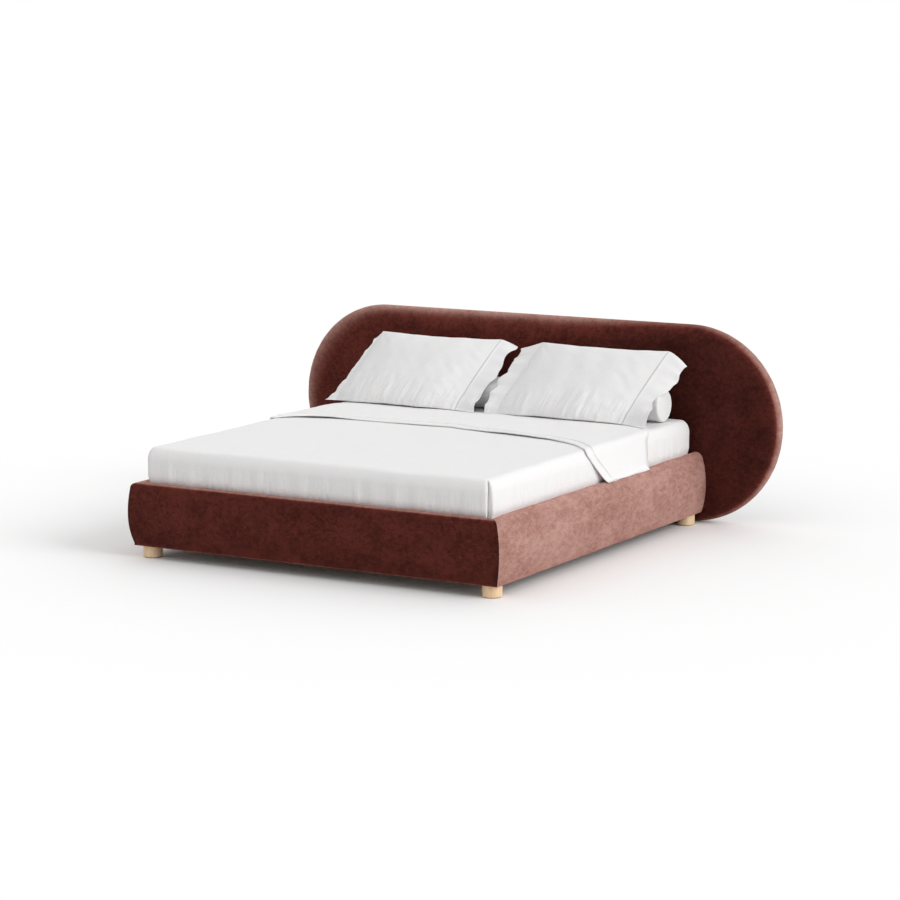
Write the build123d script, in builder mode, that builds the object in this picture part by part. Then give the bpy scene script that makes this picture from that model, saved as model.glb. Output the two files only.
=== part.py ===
"""An upholstered double bed with a long round-ended headboard.

Frame: millimetres, +Z up, origin on the floor at the middle of the whole bed.
The foot of the bed looks along -Y, the headboard is at +Y and the width runs along X.
"""
from build123d import *
import math
import os

os.makedirs("parts", exist_ok=True)

# Mattress and the room it lies in
mattress_length = 2000.0
mattress_width = 1800.0
mattress_height = 250.0
mattress_corner_round = 36.0
mattress_top_round = 32.0
mattress_bottom_round = 22.0
mattress_clearance = 3.0
mattress_head_gap = 32.0
mattress_sink = 87.0
soft_gap = 0.3

# Upholstered rails, seen in section: bulge, shoulder, crown and inner roll
rail_floor_gap = 57.0
rail_bulge_height = 148.0
rail_bottom_inset = 24.0
rail_height_over_bulge = 150.0
side_shoulder_height = 122.0
side_shoulder_inset = 20.0
side_crown_reach = 55.0
side_inner_roll = 22.0
foot_shoulder_height = 133.0
foot_shoulder_inset = 4.0
foot_crown_reach = 22.0
foot_depth = 55.0
cover_thickness = 2.0

# Wooden frame
board_thickness = 25.0
board_top_cover = 30.0
head_board_lift = 24.0
post_size = 105.0
ledger_width = 30.0
ledger_height = 40.0
beam_width = 45.0
beam_height = 90.0
hanger_plate = 3.0
hanger_length = 60.0
hanger_flange = 30.0

# Slats
slat_count = 14
slat_width = 72.0
slat_thickness = 20.0
slat_end_clearance = 3.0
slat_end_gap = 20.0
tape_width = 25.0
tape_thickness = 1.2
tape_inset = 60.0

# Legs, their studs and pads
leg_diameter = 90.0
leg_edge_bevel = 2.0
leg_side_inset = 83.0
leg_foot_inset = 87.0
leg_head_inset = 53.0
pad_thickness = 3.0
pad_margin = 6.0
stud_diameter = 8.0
stud_in_leg = 35.0
stud_in_post = 50.0
stud_clearance = 0.2
centre_leg_diameter = 45.0
centre_leg_share = 0.27

# Steel corner angles and their screws
angle_leg = 40.0
angle_plate = 3.0
angle_height = 100.0
angle_lift = 25.0
screw_diameter = 5.0
screw_head_diameter = 10.0
screw_head_height = 3.0
screw_length = 22.0
screw_clearance = 0.2
screw_row_share = 0.28

# Ledger screws
ledger_screw_count = 6
ledger_screw_bite = 20.0

# Headboard
headboard_width = 2700.0
headboard_height = 972.0
headboard_thickness = 120.0
headboard_front_roll = 112.0
headboard_back_roll = 55.0
headboard_rim_depth = 60.0
headboard_core_thickness = 30.0
headboard_core_margin = 3.0
bolt_diameter = 8.0
bolt_clearance = 0.5
bolt_head_diameter = 16.0
bolt_head_height = 4.5
bolt_bite = 22.0
bolt_spread = 560.0
bolt_low_height = 115.0
bolt_high_height = 200.0
washer_diameter = 24.0
washer_thickness = 2.0

# Fitted sheet and turned-down top sheet
linen_thickness = 2.0
fitted_tuck = 70.0
top_sheet_thickness = 4.0
top_sheet_edge_round = 32.0
top_sheet_flare = 30.0
top_sheet_hem_lift = 2.5
top_sheet_front_mid = 130.0
top_sheet_front_left = -80.0
top_sheet_front_right = -160.0
top_sheet_rear = 680.0
flap_front_slant = 160.0
flap_rear_slant = 55.0
flap_rear_foot = 432.0

# Bolster
bolster_diameter = 150.0
bolster_length = 1676.0
bolster_end_round = 16.0
bolster_place = 800.0
filling_gap = 0.4

# Pillows: the case body, its open-end flap and where it leans
pillow_width = 690.0
pillow_slant_height = 430.0
pillow_drawn_in = 7.0
pillow_front_crown = 56.0
pillow_back_crown = 22.0
pillow_edge_thickness = 8.0
pillow_flap = 108.0
pillow_flap_thickness = 5.0
pillow_tilt = 50.0
pillow_skew = 15.6
pillow_left_place = -518.0
pillow_right_place = 408.0

# Places worked out from the sizes above
side_depth = side_crown_reach + side_inner_roll
base_width = mattress_width + (mattress_clearance + side_depth) * 2
rail_top = rail_floor_gap + rail_bulge_height + rail_height_over_bulge
rail_length = foot_depth + mattress_clearance + mattress_length + mattress_head_gap
bed_length = rail_length + headboard_thickness
foot_y = -bed_length / 2
head_y = foot_y + rail_length
side_x = base_width / 2
inner_x = side_x - side_depth
inner_foot_y = foot_y + foot_depth
slat_bottom = rail_top - mattress_sink - slat_thickness - soft_gap
post_top = slat_bottom - ledger_height
slat_top = slat_bottom + slat_thickness
board_bottom = rail_floor_gap + cover_thickness
board_top = rail_top - board_top_cover
leg_x = side_x - leg_side_inset
leg_front_y = foot_y + leg_foot_inset
leg_rear_y = head_y - leg_head_inset
leg_places = {
    "front_left": (-leg_x, leg_front_y),
    "front_right": (leg_x, leg_front_y),
    "rear_left": (-leg_x, leg_rear_y),
    "rear_right": (leg_x, leg_rear_y),
}
head_board_front = head_y - board_thickness
mattress_bottom = slat_top + soft_gap
mattress_top = mattress_bottom + mattress_height
mattress_front = inner_foot_y + mattress_clearance
mattress_mid_y = mattress_front + mattress_length / 2
overrun = board_thickness
quarter = math.degrees(math.pi / 2)

pieces = {}


def keep(builder, name):
    """Give the finished piece its name and put it with the others."""
    builder.part.label = name
    pieces[name] = builder.part


def block(x0, x1, y0, y1, z0, z1, mode=Mode.ADD):
    """A straight block between two corners."""
    with BuildSketch(Plane.XY.offset(z0)) as area:
        with Locations(((x0 + x1) / 2, (y0 + y1) / 2)):
            Rectangle(abs(x1 - x0), abs(y1 - y0))
    extrude(area.sketch, amount=z1 - z0, mode=mode)


def round_bar(plane, diameter, length, mode=Mode.ADD):
    """A round bar that starts on the plane and runs along its normal."""
    with BuildSketch(plane) as disc:
        Circle(diameter / 2)
    extrude(disc.sketch, amount=length, mode=mode)


def mirrored(part, name):
    """The same piece on the other side of the bed."""
    with BuildPart() as twin:
        mirror(part, about=Plane.YZ)
    keep(twin, name)


# Rail section: two long arcs that meet upright at the bulge, then a crown, tight at the foot
def rail_outline(shoulder_inset, shoulder_height, crown_reach, depth, inner_roll=0):
    """Outline of a rail, measured inwards from its bulge and up from the floor."""
    bulge = (0, rail_floor_gap + rail_bulge_height)
    shoulder = (shoulder_inset, bulge[1] + shoulder_height)
    foot = (rail_bottom_inset, rail_floor_gap)
    peak = (crown_reach, rail_top)
    level_end = (depth - inner_roll, rail_top)
    back_top = (depth, rail_top - inner_roll)
    with BuildLine() as edge:
        TangentArc(bulge, foot, tangent=(0, -1))
        upper = TangentArc(bulge, shoulder, tangent=(0, 1))
        TangentArc(shoulder, peak, tangent=upper % 1)
        if level_end[0] > peak[0]:
            Line(peak, level_end)
        if inner_roll:
            RadiusArc(level_end, back_top, inner_roll)
        Line(back_top, (depth, rail_floor_gap))
        Line((depth, rail_floor_gap), foot)
    make_face(edge.edges())


foot_plane = Plane(origin=(0, foot_y, 0), x_dir=(0, 1, 0), z_dir=(1, 0, 0))
left_plane = Plane(origin=(-side_x, head_y, 0), x_dir=(1, 0, 0), z_dir=(0, -1, 0))
right_plane = Plane(origin=(side_x, foot_y, 0), x_dir=(-1, 0, 0), z_dir=(0, 1, 0))
left_mitre = Plane(origin=(-side_x, foot_y, 0), z_dir=(1, -1, 0))
right_mitre = Plane(origin=(side_x, foot_y, 0), z_dir=(-1, -1, 0))


def foot_form(depth, inset, mode=Mode.ADD):
    """The foot's outline, drawn in by the inset and run right across the bed."""
    with BuildSketch(foot_plane) as section:
        rail_outline(foot_shoulder_inset, foot_shoulder_height, foot_crown_reach, depth)
        if inset:
            offset(amount=-inset, mode=Mode.REPLACE)
    extrude(section.sketch, amount=side_x, both=True, mode=mode)


def side_form(plane, depth, inner_roll, inset, mode=Mode.ADD):
    """A side's outline, drawn in by the inset and run along the whole rail."""
    with BuildSketch(plane) as section:
        rail_outline(side_shoulder_inset, side_shoulder_height, side_crown_reach, depth, inner_roll)
        if inset:
            offset(amount=-inset, mode=Mode.REPLACE)
    extrude(section.sketch, amount=rail_length, mode=mode)


def foot_body(inset):
    """The foot rail, drawn in by the inset, shaped by the sides at its ends and mitred there."""
    foot_form(foot_depth, inset)
    side_form(left_plane, base_width + overrun, 0, inset, mode=Mode.INTERSECT)
    side_form(right_plane, base_width + overrun, 0, inset, mode=Mode.INTERSECT)
    split(bisect_by=left_mitre, keep=Keep.TOP)
    split(bisect_by=right_mitre, keep=Keep.TOP)


def left_body(inset):
    """The left rail, drawn in by the inset, shaped by the foot at its front and mitred there."""
    side_form(left_plane, side_depth, side_inner_roll, inset)
    foot_form(rail_length + overrun, inset, mode=Mode.INTERSECT)
    split(bisect_by=left_mitre, keep=Keep.BOTTOM)


# Corner posts carry the legs, so boards, foam and covers are notched round them
def post_blocks(mode):
    """The four corner posts as plain blocks."""
    for x, y in leg_places.values():
        half = post_size / 2
        block(x - half, x + half, y - half, y + half, rail_floor_gap, post_top, mode=mode)


side_board_x = inner_x + cover_thickness
foot_board_y = inner_foot_y - cover_thickness
board_half_width = side_board_x + board_thickness

# Screws and bolts: each has a place, a driving direction and the bore that it goes into
def bar_at(place, direction, diameter, length, mode=Mode.ADD):
    """A round bar that starts at the place and runs in the direction."""
    round_bar(Plane(origin=place, z_dir=direction), diameter, length, mode=mode)


def angle_corners():
    """Inside corners that hold a steel angle: the corner, its two directions and the two faces."""
    corners = []
    half = post_size / 2
    for side in (-1, 1):
        for post_y, end in ((leg_front_y, 1), (leg_rear_y, -1)):
            rail_face = inner_foot_y if end > 0 else head_board_front
            corners.append((side * inner_x, post_y + end * half, -side, end))
            corners.append((side * (leg_x - half), rail_face, -side, end))
    return corners


angle_bottom = rail_floor_gap + angle_lift
screw_rows = (angle_bottom + angle_height * screw_row_share,
              angle_bottom + angle_height * (1 - screw_row_share))
beam_bottom = slat_bottom - beam_height
beam_side = beam_width / 2
hanger_side = beam_side + hanger_plate
screw_places = []
for x, y, run_x, run_y in angle_corners():
    along = (angle_leg + angle_plate) / 2
    for z in screw_rows:
        screw_places.append(((x + run_x * along, y + run_y * angle_plate, z), (0, -run_y, 0)))
        screw_places.append(((x + run_x * angle_plate, y + run_y * along, z), (-run_x, 0, 0)))
for face_y, end in ((inner_foot_y, 1), (head_board_front, -1)):
    for side in (-1, 1):
        for share in (screw_row_share, 1 - screw_row_share):
            x = side * (hanger_side + hanger_flange / 2)
            screw_places.append(((x, face_y + end * hanger_plate, beam_bottom + beam_height * share),
                                 (0, -end, 0)))

ledger_front = inner_foot_y
ledger_length = head_board_front - inner_foot_y
ledger_face = inner_x - ledger_width
ledger_screw_places = []
for side in (-1, 1):
    for index in range(ledger_screw_count):
        share = (index + 0.5) / ledger_screw_count
        place = (side * ledger_face, ledger_front + ledger_length * share, slat_bottom - ledger_height / 2)
        ledger_screw_places.append((place, (side, 0, 0)))
ledger_screw_length = ledger_width + cover_thickness + ledger_screw_bite

bolt_places = [(side * bolt_spread, head_board_front, z)
               for side in (-1, 1) for z in (bolt_low_height, bolt_high_height)]
core_front = head_y + headboard_thickness - cover_thickness - headboard_core_thickness
bolt_reach = core_front + bolt_bite - head_board_front

with BuildPart() as screw_bores:
    for place, direction in screw_places:
        bar_at(place, direction, screw_diameter + screw_clearance * 2, screw_length + screw_clearance)
    for place, direction in ledger_screw_places:
        bar_at(place, direction, screw_diameter + screw_clearance * 2,
               ledger_screw_length + screw_clearance)
with BuildPart() as bolt_bores:
    for place in bolt_places:
        bar_at(place, (0, 1, 0), bolt_diameter + bolt_clearance * 2, bolt_reach + bolt_clearance)

# Wooden boards of the base
with BuildPart() as side_board_left:
    block(-board_half_width, -side_board_x, inner_foot_y, head_y, board_bottom, board_top)
    post_blocks(Mode.SUBTRACT)
    add(screw_bores.part, mode=Mode.SUBTRACT)
keep(side_board_left, "side_board_left")
mirrored(side_board_left.part, "side_board_right")
with BuildPart() as foot_board:
    block(-board_half_width, board_half_width, foot_board_y - board_thickness, foot_board_y,
          board_bottom, board_top)
    post_blocks(Mode.SUBTRACT)
    add(screw_bores.part, mode=Mode.SUBTRACT)
keep(foot_board, "foot_board")
with BuildPart() as head_board:
    block(-inner_x, inner_x, head_board_front, head_y, board_bottom + head_board_lift, board_top)
    post_blocks(Mode.SUBTRACT)
    add(screw_bores.part, mode=Mode.SUBTRACT)
    add(bolt_bores.part, mode=Mode.SUBTRACT)
keep(head_board, "head_board")

# Foam over the boards
with BuildPart() as boards:
    block(-board_half_width, -side_board_x, inner_foot_y, head_y, board_bottom, board_top)
    block(side_board_x, board_half_width, inner_foot_y, head_y, board_bottom, board_top)
    block(-board_half_width, board_half_width, foot_board_y - board_thickness, foot_board_y,
          board_bottom, board_top)
with BuildPart() as foot_foam:
    foot_body(cover_thickness)
    add(boards.part, mode=Mode.SUBTRACT)
    post_blocks(Mode.SUBTRACT)
keep(foot_foam, "foot_foam")
with BuildPart() as side_foam_left:
    left_body(cover_thickness)
    add(boards.part, mode=Mode.SUBTRACT)
    post_blocks(Mode.SUBTRACT)
keep(side_foam_left, "side_foam_left")
mirrored(side_foam_left.part, "side_foam_right")

# Velvet covers round foam and boards, joined by a mitred seam at each front corner
with BuildPart() as foot_filling:
    foot_body(cover_thickness)
with BuildPart() as foot_cover:
    foot_body(0)
    add(foot_filling.part, mode=Mode.SUBTRACT)
    post_blocks(Mode.SUBTRACT)
    add(screw_bores.part, mode=Mode.SUBTRACT)
keep(foot_cover, "foot_cover")
with BuildPart() as side_filling:
    left_body(cover_thickness)
with BuildPart() as side_cover_left:
    left_body(0)
    add(side_filling.part, mode=Mode.SUBTRACT)
    post_blocks(Mode.SUBTRACT)
    add(screw_bores.part, mode=Mode.SUBTRACT)
keep(side_cover_left, "side_cover_left")
mirrored(side_cover_left.part, "side_cover_right")

# Corner posts, legs, studs and pads
centre_leg_reach = mattress_length * centre_leg_share
centre_leg_places = {"front": (0, mattress_mid_y - centre_leg_reach),
                     "rear": (0, mattress_mid_y + centre_leg_reach)}
stud_bore = stud_diameter + stud_clearance * 2
stud_feet = [(x, y, rail_floor_gap) for x, y in leg_places.values()]
stud_feet += [(x, y, beam_bottom) for x, y in centre_leg_places.values()]

with BuildPart() as stud_bores:
    for x, y, seat in stud_feet:
        bar_at((x, y, seat - stud_in_leg - stud_clearance), (0, 0, 1), stud_bore,
               stud_in_leg + stud_in_post + stud_clearance * 2)
with BuildPart() as leg_studs:
    for x, y, seat in stud_feet:
        bar_at((x, y, seat - stud_in_leg), (0, 0, 1), stud_diameter, stud_in_leg + stud_in_post)
keep(leg_studs, "leg_studs")
for place, (x, y) in leg_places.items():
    half = post_size / 2
    with BuildPart() as corner_post:
        block(x - half, x + half, y - half, y + half, rail_floor_gap, post_top)
        add(stud_bores.part, mode=Mode.SUBTRACT)
        add(screw_bores.part, mode=Mode.SUBTRACT)
    keep(corner_post, f"corner_post_{place}")
    with BuildPart() as leg:
        bar_at((x, y, pad_thickness), (0, 0, 1), leg_diameter, rail_floor_gap - pad_thickness)
        chamfer(leg.edges().filter_by(GeomType.CIRCLE), length=leg_edge_bevel)
        add(stud_bores.part, mode=Mode.SUBTRACT)
    keep(leg, f"leg_{place}")
for place, (x, y) in centre_leg_places.items():
    with BuildPart() as centre_leg:
        bar_at((x, y, pad_thickness), (0, 0, 1), centre_leg_diameter, beam_bottom - pad_thickness)
        add(stud_bores.part, mode=Mode.SUBTRACT)
    keep(centre_leg, f"centre_leg_{place}")
with BuildPart() as leg_pads:
    for x, y in leg_places.values():
        bar_at((x, y, 0), (0, 0, 1), leg_diameter - pad_margin * 2, pad_thickness)
    for x, y in centre_leg_places.values():
        bar_at((x, y, 0), (0, 0, 1), centre_leg_diameter - pad_margin * 2, pad_thickness)
keep(leg_pads, "leg_pads")

# Ledgers, centre beam and its hangers
with BuildPart() as ledger_left:
    block(-inner_x, -ledger_face, ledger_front, head_board_front, slat_bottom - ledger_height, slat_bottom)
    add(screw_bores.part, mode=Mode.SUBTRACT)
keep(ledger_left, "ledger_left")
mirrored(ledger_left.part, "ledger_right")
with BuildPart() as centre_beam:
    block(-beam_side, beam_side, inner_foot_y + hanger_plate, head_board_front - hanger_plate,
          beam_bottom, slat_bottom)
    add(stud_bores.part, mode=Mode.SUBTRACT)
keep(centre_beam, "centre_beam")
with BuildPart() as beam_hangers:
    for face_y, end in ((inner_foot_y, 1), (head_board_front, -1)):
        seat_y = face_y + end * hanger_plate
        block(-hanger_side, hanger_side, face_y, face_y + end * hanger_length,
              beam_bottom - hanger_plate, slat_bottom)
        block(-beam_side, beam_side, seat_y, face_y + end * hanger_length, beam_bottom, slat_bottom,
              mode=Mode.SUBTRACT)
        block(-hanger_side - hanger_flange, hanger_side + hanger_flange, face_y, seat_y,
              beam_bottom, slat_bottom)
    add(screw_bores.part, mode=Mode.SUBTRACT)
keep(beam_hangers, "beam_hangers")

# Steel corner angles, and all the screws
with BuildPart() as corner_angles:
    for x, y, run_x, run_y in angle_corners():
        block(x, x + run_x * angle_leg, y, y + run_y * angle_plate,
              angle_bottom, angle_bottom + angle_height)
        block(x, x + run_x * angle_plate, y, y + run_y * angle_leg,
              angle_bottom, angle_bottom + angle_height)
    add(screw_bores.part, mode=Mode.SUBTRACT)
keep(corner_angles, "corner_angles")
with BuildPart() as frame_screws:
    for place, direction in screw_places:
        backwards = [-part for part in direction]
        bar_at(place, direction, screw_diameter, screw_length)
        bar_at(place, backwards, screw_head_diameter, screw_head_height)
keep(frame_screws, "frame_screws")
with BuildPart() as ledger_screws:
    for place, direction in ledger_screw_places:
        backwards = [-part for part in direction]
        bar_at(place, direction, screw_diameter, ledger_screw_length)
        bar_at(place, backwards, screw_head_diameter, screw_head_height)
keep(ledger_screws, "ledger_screws")

# Slats, evenly spread between the foot and head boards, tied by two tapes
slat_end = inner_x - slat_end_clearance
slat_first = inner_foot_y + slat_end_gap + slat_width / 2
slat_last = head_board_front - slat_end_gap - slat_width / 2
slat_pitch = (slat_last - slat_first) / (slat_count - 1)
for index in range(slat_count):
    mid = slat_first + slat_pitch * index
    with BuildPart() as slat:
        block(-slat_end, slat_end, mid - slat_width / 2, mid + slat_width / 2, slat_bottom, slat_top)
    keep(slat, f"slat_{index + 1:02d}")
with BuildPart() as slat_tapes:
    for side in (-1, 1):
        tape_mid = side * (ledger_face - tape_inset)
        block(tape_mid - tape_width / 2, tape_mid + tape_width / 2, slat_first, slat_last,
              slat_bottom - tape_thickness, slat_bottom)
keep(slat_tapes, "slat_tapes")

# Headboard: a stadium whose padded rim rolls wide at the front and tighter at the back
headboard_mid_z = headboard_height / 2


def stadium(front_y, inset, depth, mode=Mode.ADD):
    """A round-ended upright plate, drawn in from the headboard's outline by the inset."""
    plane = Plane(origin=(0, front_y, headboard_mid_z), x_dir=(1, 0, 0), z_dir=(0, 1, 0))
    with BuildSketch(plane) as outline:
        SlotOverall(headboard_width - inset * 2, headboard_height - inset * 2)
    extrude(outline.sketch, amount=depth, mode=mode)


def padded_plate(inset):
    """The padded headboard, drawn in by the inset: one section run straight and turned round both ends."""
    end_x = (headboard_width - headboard_height) / 2
    reach = headboard_height / 2 - inset
    rim = head_y + headboard_rim_depth
    front, back = head_y + inset, back_y - inset
    front_roll, back_roll = headboard_front_roll - inset, headboard_back_roll - inset
    with BuildSketch(Plane(origin=(-end_x, 0, headboard_mid_z), x_dir=(0, 1, 0), z_dir=(1, 0, 0))) as whole:
        with BuildLine() as edge:
            Polyline((front, 0), (front, reach - front_roll))
            EllipticalCenterArc((rim, reach - front_roll), rim - front, front_roll, quarter, arc_size=quarter)
            EllipticalCenterArc((rim, reach - back_roll), back - rim, back_roll, 0, arc_size=quarter)
            Polyline((back, reach - back_roll), (back, 0), (front, 0))
        upper_half = make_face(edge.edges())
        mirror(upper_half, about=Plane.XZ)
    extrude(whole.sketch, amount=end_x * 2)
    for side in (-1, 1):
        plane = Plane(origin=(side * end_x, 0, headboard_mid_z), x_dir=(0, 1, 0), z_dir=(1, 0, 0))
        with BuildSketch(plane) as half_section:
            make_face(edge.edges())
        revolve(half_section.sketch, axis=Axis((side * end_x, 0, headboard_mid_z), (0, side, 0)),
                revolution_arc=quarter * 2)


back_y = head_y + headboard_thickness
core_inset = headboard_back_roll + headboard_core_margin
with BuildPart() as headboard_core:
    stadium(core_front, core_inset, headboard_core_thickness)
    add(bolt_bores.part, mode=Mode.SUBTRACT)
keep(headboard_core, "headboard_core")
with BuildPart() as headboard_filling:
    padded_plate(cover_thickness)
with BuildPart() as headboard_foam:
    add(headboard_filling.part)
    stadium(core_front, core_inset, headboard_core_thickness, mode=Mode.SUBTRACT)
    add(bolt_bores.part, mode=Mode.SUBTRACT)
keep(headboard_foam, "headboard_foam")
with BuildPart() as headboard_cover:
    padded_plate(0)
    add(headboard_filling.part, mode=Mode.SUBTRACT)
    stadium(back_y - cover_thickness, core_inset, cover_thickness, mode=Mode.SUBTRACT)
    add(bolt_bores.part, mode=Mode.SUBTRACT)
keep(headboard_cover, "headboard_cover")
with BuildPart() as headboard_back_cloth:
    stadium(back_y - cover_thickness, core_inset, cover_thickness)
keep(headboard_back_cloth, "headboard_back_cloth")
with BuildPart() as headboard_bolts:
    for x, y, z in bolt_places:
        bar_at((x, y - washer_thickness, z), (0, 1, 0), bolt_diameter, bolt_reach + washer_thickness)
        bar_at((x, y - washer_thickness, z), (0, -1, 0), bolt_head_diameter, bolt_head_height)
keep(headboard_bolts, "headboard_bolts")
with BuildPart() as headboard_washers:
    for x, y, z in bolt_places:
        bar_at((x, y, z), (0, -1, 0), washer_diameter, washer_thickness)
        bar_at((x, y, z), (0, -1, 0), bolt_diameter + bolt_clearance * 2, washer_thickness,
               mode=Mode.SUBTRACT)
keep(headboard_washers, "headboard_washers")


# Mattress and its fitted sheet, tucked under the bottom edge
def mattress_block(builder, inset):
    """The mattress with rounded corners and edges, drawn in by the inset."""
    half = mattress_width / 2 - inset
    block(-half, half, mattress_front + inset, mattress_front + mattress_length - inset,
          mattress_bottom + inset, mattress_top - inset)
    fillet(builder.edges().filter_by(Axis.Z), radius=mattress_corner_round - inset)
    fillet(builder.edges().group_by(Axis.Z)[-1], radius=mattress_top_round - inset)
    fillet(builder.edges().group_by(Axis.Z)[0], radius=mattress_bottom_round - inset)


with BuildPart() as mattress:
    mattress_block(mattress, linen_thickness)
keep(mattress, "mattress")
with BuildPart() as fitted_sheet:
    mattress_block(fitted_sheet, 0)
    add(mattress.part, mode=Mode.SUBTRACT)
    half = mattress_width / 2 - fitted_tuck
    block(-half, half, mattress_front + fitted_tuck, mattress_front + mattress_length - fitted_tuck,
          mattress_bottom, mattress_bottom + linen_thickness, mode=Mode.SUBTRACT)
keep(fitted_sheet, "fitted_sheet")

# Top sheet: folded double, laid across the bed, its ends hanging over the side rails
sheet_mid_z = mattress_top + top_sheet_thickness / 2
sheet_side_x = mattress_width / 2 + top_sheet_thickness
hem_z = rail_top + top_sheet_hem_lift
hem_x = sheet_side_x + top_sheet_flare
sheet_cut_x = mattress_width / 2 - top_sheet_edge_round
front_of_all = min(top_sheet_front_left, top_sheet_front_right)
with BuildPart() as top_sheet:
    sheet_plane = Plane(origin=(0, top_sheet_rear, 0), x_dir=(1, 0, 0), z_dir=(0, -1, 0))
    with BuildLine() as drape:
        FilletPolyline((-hem_x, hem_z), (-sheet_side_x, sheet_mid_z), (sheet_side_x, sheet_mid_z),
                       (hem_x, hem_z), radius=top_sheet_edge_round)
    with BuildSketch(sheet_plane) as section:
        trace(drape.edges(), line_width=top_sheet_thickness)
    extrude(section.sketch, amount=top_sheet_rear - front_of_all)
    with BuildSketch() as front_cut:
        with BuildLine() as front_line:
            ThreePointArc((-hem_x - overrun, top_sheet_front_left), (0, top_sheet_front_mid),
                          (hem_x + overrun, top_sheet_front_right))
            Polyline((hem_x + overrun, top_sheet_front_right),
                     (hem_x + overrun, front_of_all - overrun),
                     (-hem_x - overrun, front_of_all - overrun),
                     (-hem_x - overrun, top_sheet_front_left))
        make_face(front_line.edges())
    extrude(front_cut.sketch, amount=mattress_top + mattress_height, mode=Mode.SUBTRACT)
    for side in (-1, 1):
        cut_plane = Plane(origin=(side * sheet_cut_x, 0, 0), x_dir=(0, side, 0), z_dir=(side, 0, 0))
        front_y = top_sheet_front_left if side < 0 else top_sheet_front_right
        with BuildSketch(cut_plane) as flap_cuts:
            with BuildLine() as front_flap:
                Polyline((side * (front_of_all - overrun), sheet_mid_z), (side * front_y, sheet_mid_z),
                         (side * (front_y + flap_front_slant), hem_z - overrun),
                         (side * (front_of_all - overrun), hem_z - overrun), close=True)
            make_face(front_flap.edges())
            with BuildLine() as rear_flap:
                Polyline((side * flap_rear_foot, hem_z - overrun),
                         (side * (flap_rear_foot + flap_rear_slant), mattress_top + overrun),
                         (side * (top_sheet_rear + overrun), mattress_top + overrun),
                         (side * (top_sheet_rear + overrun), hem_z - overrun), close=True)
            make_face(rear_flap.edges())
        extrude(flap_cuts.sketch, amount=hem_x + overrun - sheet_cut_x, mode=Mode.SUBTRACT)
keep(top_sheet, "top_sheet")

# Bolster roll behind the pillows
bolster_axis_z = mattress_top + soft_gap + bolster_diameter / 2


def bolster_roll(builder, inset):
    """The round bolster, drawn in by the inset."""
    bar_at((-bolster_length / 2 + inset, bolster_place, bolster_axis_z), (1, 0, 0),
           bolster_diameter - inset * 2, bolster_length - inset * 2)
    fillet(builder.edges().filter_by(GeomType.CIRCLE), radius=bolster_end_round - inset)


with BuildPart() as bolster_cavity:
    bolster_roll(bolster_cavity, linen_thickness)
with BuildPart() as bolster_cover:
    bolster_roll(bolster_cover, 0)
    add(bolster_cavity.part, mode=Mode.SUBTRACT)
keep(bolster_cover, "bolster_cover")
with BuildPart() as bolster_filling:
    bolster_roll(bolster_filling, linen_thickness + filling_gap)
keep(bolster_filling, "bolster_filling")

# Pillows: crowned, drawn in between their corners, leaning on the bolster
tilt = math.radians(pillow_tilt)
skew = math.radians(pillow_skew)
slope = Vector(0, math.cos(tilt), math.sin(tilt))
skewed = slope * math.cos(skew) + Vector(math.sin(skew), 0, 0)
along_pillow = Vector(math.cos(skew), 0, 0) - slope * math.sin(skew)
pillow_foot_z = mattress_top + top_sheet_thickness + soft_gap + pillow_edge_thickness / 2 * math.cos(tilt)
bolster_rise = bolster_axis_z - pillow_foot_z
lean_clear = bolster_diameter / 2 + pillow_back_crown + soft_gap
pillow_foot_y = bolster_place - (lean_clear + bolster_rise * math.cos(tilt)) / math.sin(tilt)
half_slant = pillow_slant_height / 2
place_shares = (-1, -0.9, -0.55, 0, 0.55, 0.9, 1)
crown_shares = (0.12, 0.42, 0.86, 1, 0.86, 0.42, 0.12)


def pillow_section(middle_x, run, front, back, half_height, edge):
    """One slice of a pillow: two shallow arcs and two short edges, square to its length."""
    middle = Vector(middle_x + run, pillow_foot_y, pillow_foot_z) + slope * half_slant
    with BuildSketch(Plane(origin=middle, x_dir=skewed, z_dir=along_pillow)) as slice_face:
        with BuildLine() as rim:
            ThreePointArc((-half_height, edge / 2), (0, front), (half_height, edge / 2))
            Line((half_height, edge / 2), (half_height, -edge / 2))
            ThreePointArc((half_height, -edge / 2), (0, -back), (-half_height, -edge / 2))
            Line((-half_height, -edge / 2), (-half_height, edge / 2))
        make_face(rim.edges())
    return slice_face.sketch


def pillow_body(middle_x, inset):
    """The stuffed body of a pillow, drawn in by the inset."""
    slices = []
    for place_share, crown_share in zip(place_shares, crown_shares):
        half_height = half_slant - pillow_drawn_in * (1 - place_share ** 2)
        slices.append(pillow_section(
            middle_x, (pillow_width / 2 - inset) * place_share,
            max(pillow_front_crown * crown_share, pillow_edge_thickness) - inset,
            max(pillow_back_crown * crown_share, pillow_edge_thickness) - inset,
            (half_height - inset) / math.cos(skew), pillow_edge_thickness - inset * 2))
    loft(slices)


def pillow_flap_body(middle_x):
    """The empty open-end flap of the case, thinner towards its free end."""
    start = pillow_width / 2
    flap_slices = []
    for run_share in (0, 0.5, 1):
        lip = pillow_edge_thickness + (pillow_flap_thickness - pillow_edge_thickness) * run_share
        flap_slices.append(pillow_section(
            middle_x, start + pillow_flap * run_share, lip, lip,
            half_slant / math.cos(skew), lip))
    loft(flap_slices)


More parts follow.
